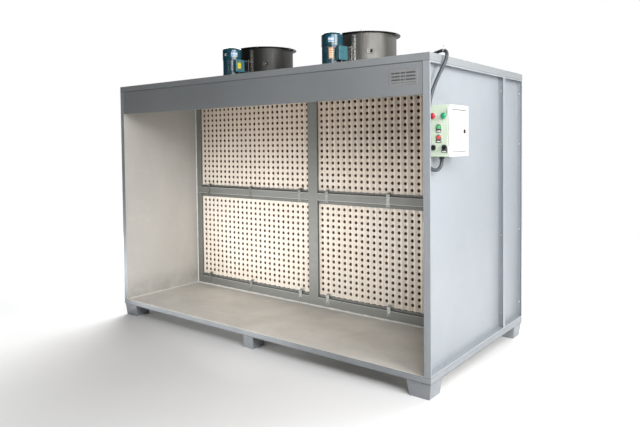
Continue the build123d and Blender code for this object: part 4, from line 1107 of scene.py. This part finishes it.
def cable_tie():
    """White tie round the conduit where it crosses the roof's edge, with its tail standing up."""
    index = min(range(1, len(main_route) - 1), key=lambda i: (main_route[i] - TIE_CREST).length)
    spot = main_route[index]
    along = (main_route[index + 1] - main_route[index - 1]).normalized()
    side = along.orthogonal().normalized()
    over = along.cross(side)
    sections = []
    for step in range(TIE_STEPS + 1):
        angle = TIE_TURN * step / TIE_STEPS
        out = side * math.cos(angle) + over * math.sin(angle)
        sections.append(flat_section(spot, out, along, TIE_INNER, TIE_OUTER))
    shape = bmesh.new()
    through_sections(shape, sections)
    up = Vector(UP)
    across = along.cross(up).normalized()
    tail = []
    for step in range(TAIL_STEPS + 1):
        share = step / TAIL_STEPS
        foot = spot + up * (CONDUIT_R + 0.001 + TAIL_RISE * share) + across * TAIL_LEAN * share ** 2
        tail.append(flat_section(foot, across, along, -TAIL_HALF, TAIL_HALF))
    through_sections(shape, tail)
    finish_piece("cable_tie", shape, BOOTH, "legend_white", smooth=40)


cable_tie()


# ---- floor, light ---------------------------------------------------------------------------
FLOOR_REACH = 7
SKY_WAY = (-0.48, 0.87, 0.08)  # the bright part of the studio's walls, behind the booth
SKY_RANGE = (0.45, 0.75, 0.03, 1.0)  # from and to on that way, dim and bright strength
LAMPS = (  # name, place, target, size, power, spread in degrees
    ("key", (6.2, -1.6, 3.2), (1.7, -0.2, 1.2), (3.0, 3.0), 405, 180),
    ("near", (3.4, -3.4, 3.4), (1.2, -0.6, 0.9), (1.6, 1.2), 92, 180),
    ("rise", (-0.8, -1.6, 0.35), (-0.4, 0.1, 1.0), (2.2, 0.5), 16, 100),
    ("fore", (-3.2, -4.6, 4.0), (-3.2, -4.59, 0.0), (3.0, 2.0), 70, 60),
    ("behind", (-4.5, 4.5, 6.0), (-3.5, 2.5, 0.0), (6.0, 6.0), 900, 180),
    ("beyond", (4.5, 6.5, 6.0), (4.0, 5.0, 0.0), (6.0, 6.0), 350, 180),
)


def studio_floor():
    shape = bmesh.new()
    quarters = ((-1, -1), (1, -1), (1, 1), (-1, 1))
    shape.faces.new([shape.verts.new((x * FLOOR_REACH, y * FLOOR_REACH, 0)) for x, y in quarters])
    ground = from_bmesh("studio_floor", shape)
    look = Look("studio_floor", roughness=0.75)
    clouds = look.ranged(look.noise(0.4, 3.0), 0.3, 0.7)
    look.colour(look.mixed(clouds, (0.84, 0.84, 0.84), (0.88, 0.88, 0.88)))
    ground.data.materials.append(look.material)


def studio_walls():
    """World that is bright behind the booth and dim elsewhere."""
    world = bpy.data.worlds.new("studio")
    bpy.context.scene.world = world
    world.use_nodes = True
    tree = world.node_tree
    sky = tree.nodes["Background"]
    way = tree.nodes.new("ShaderNodeTexCoord").outputs["Generated"]
    lean = tree.nodes.new("ShaderNodeVectorMath")
    lean.operation = "DOT_PRODUCT"
    lean.inputs[1].default_value = SKY_WAY
    tree.links.new(way, lean.inputs[0])
    ramp = tree.nodes.new("ShaderNodeMapRange")
    ramp.interpolation_type = "SMOOTHSTEP"
    for socket, number in zip(RANGE_SOCKETS, SKY_RANGE):
        ramp.inputs[socket].default_value = number
    tree.links.new(lean.outputs["Value"], ramp.inputs["Value"])
    tree.links.new(ramp.outputs["Result"], sky.inputs["Strength"])
    sky.inputs["Color"].default_value = (1.0, 1.0, 1.0, 1)


def lamp(name, place, target, size, power, spread):
    data = bpy.data.lights.new(name, "AREA")
    data.shape = "RECTANGLE"
    data.size, data.size_y = size
    data.energy = power
    data.spread = math.radians(spread)
    light = link(name, data)
    toward = Vector(target) - Vector(place)
    light.matrix_world = Matrix.Translation(place) @ toward.to_track_quat("-Z", "Y").to_matrix().to_4x4()


studio_floor()
studio_walls()
for row in LAMPS:
    lamp(*row)

bpy.context.scene.view_settings.view_transform = "Standard"
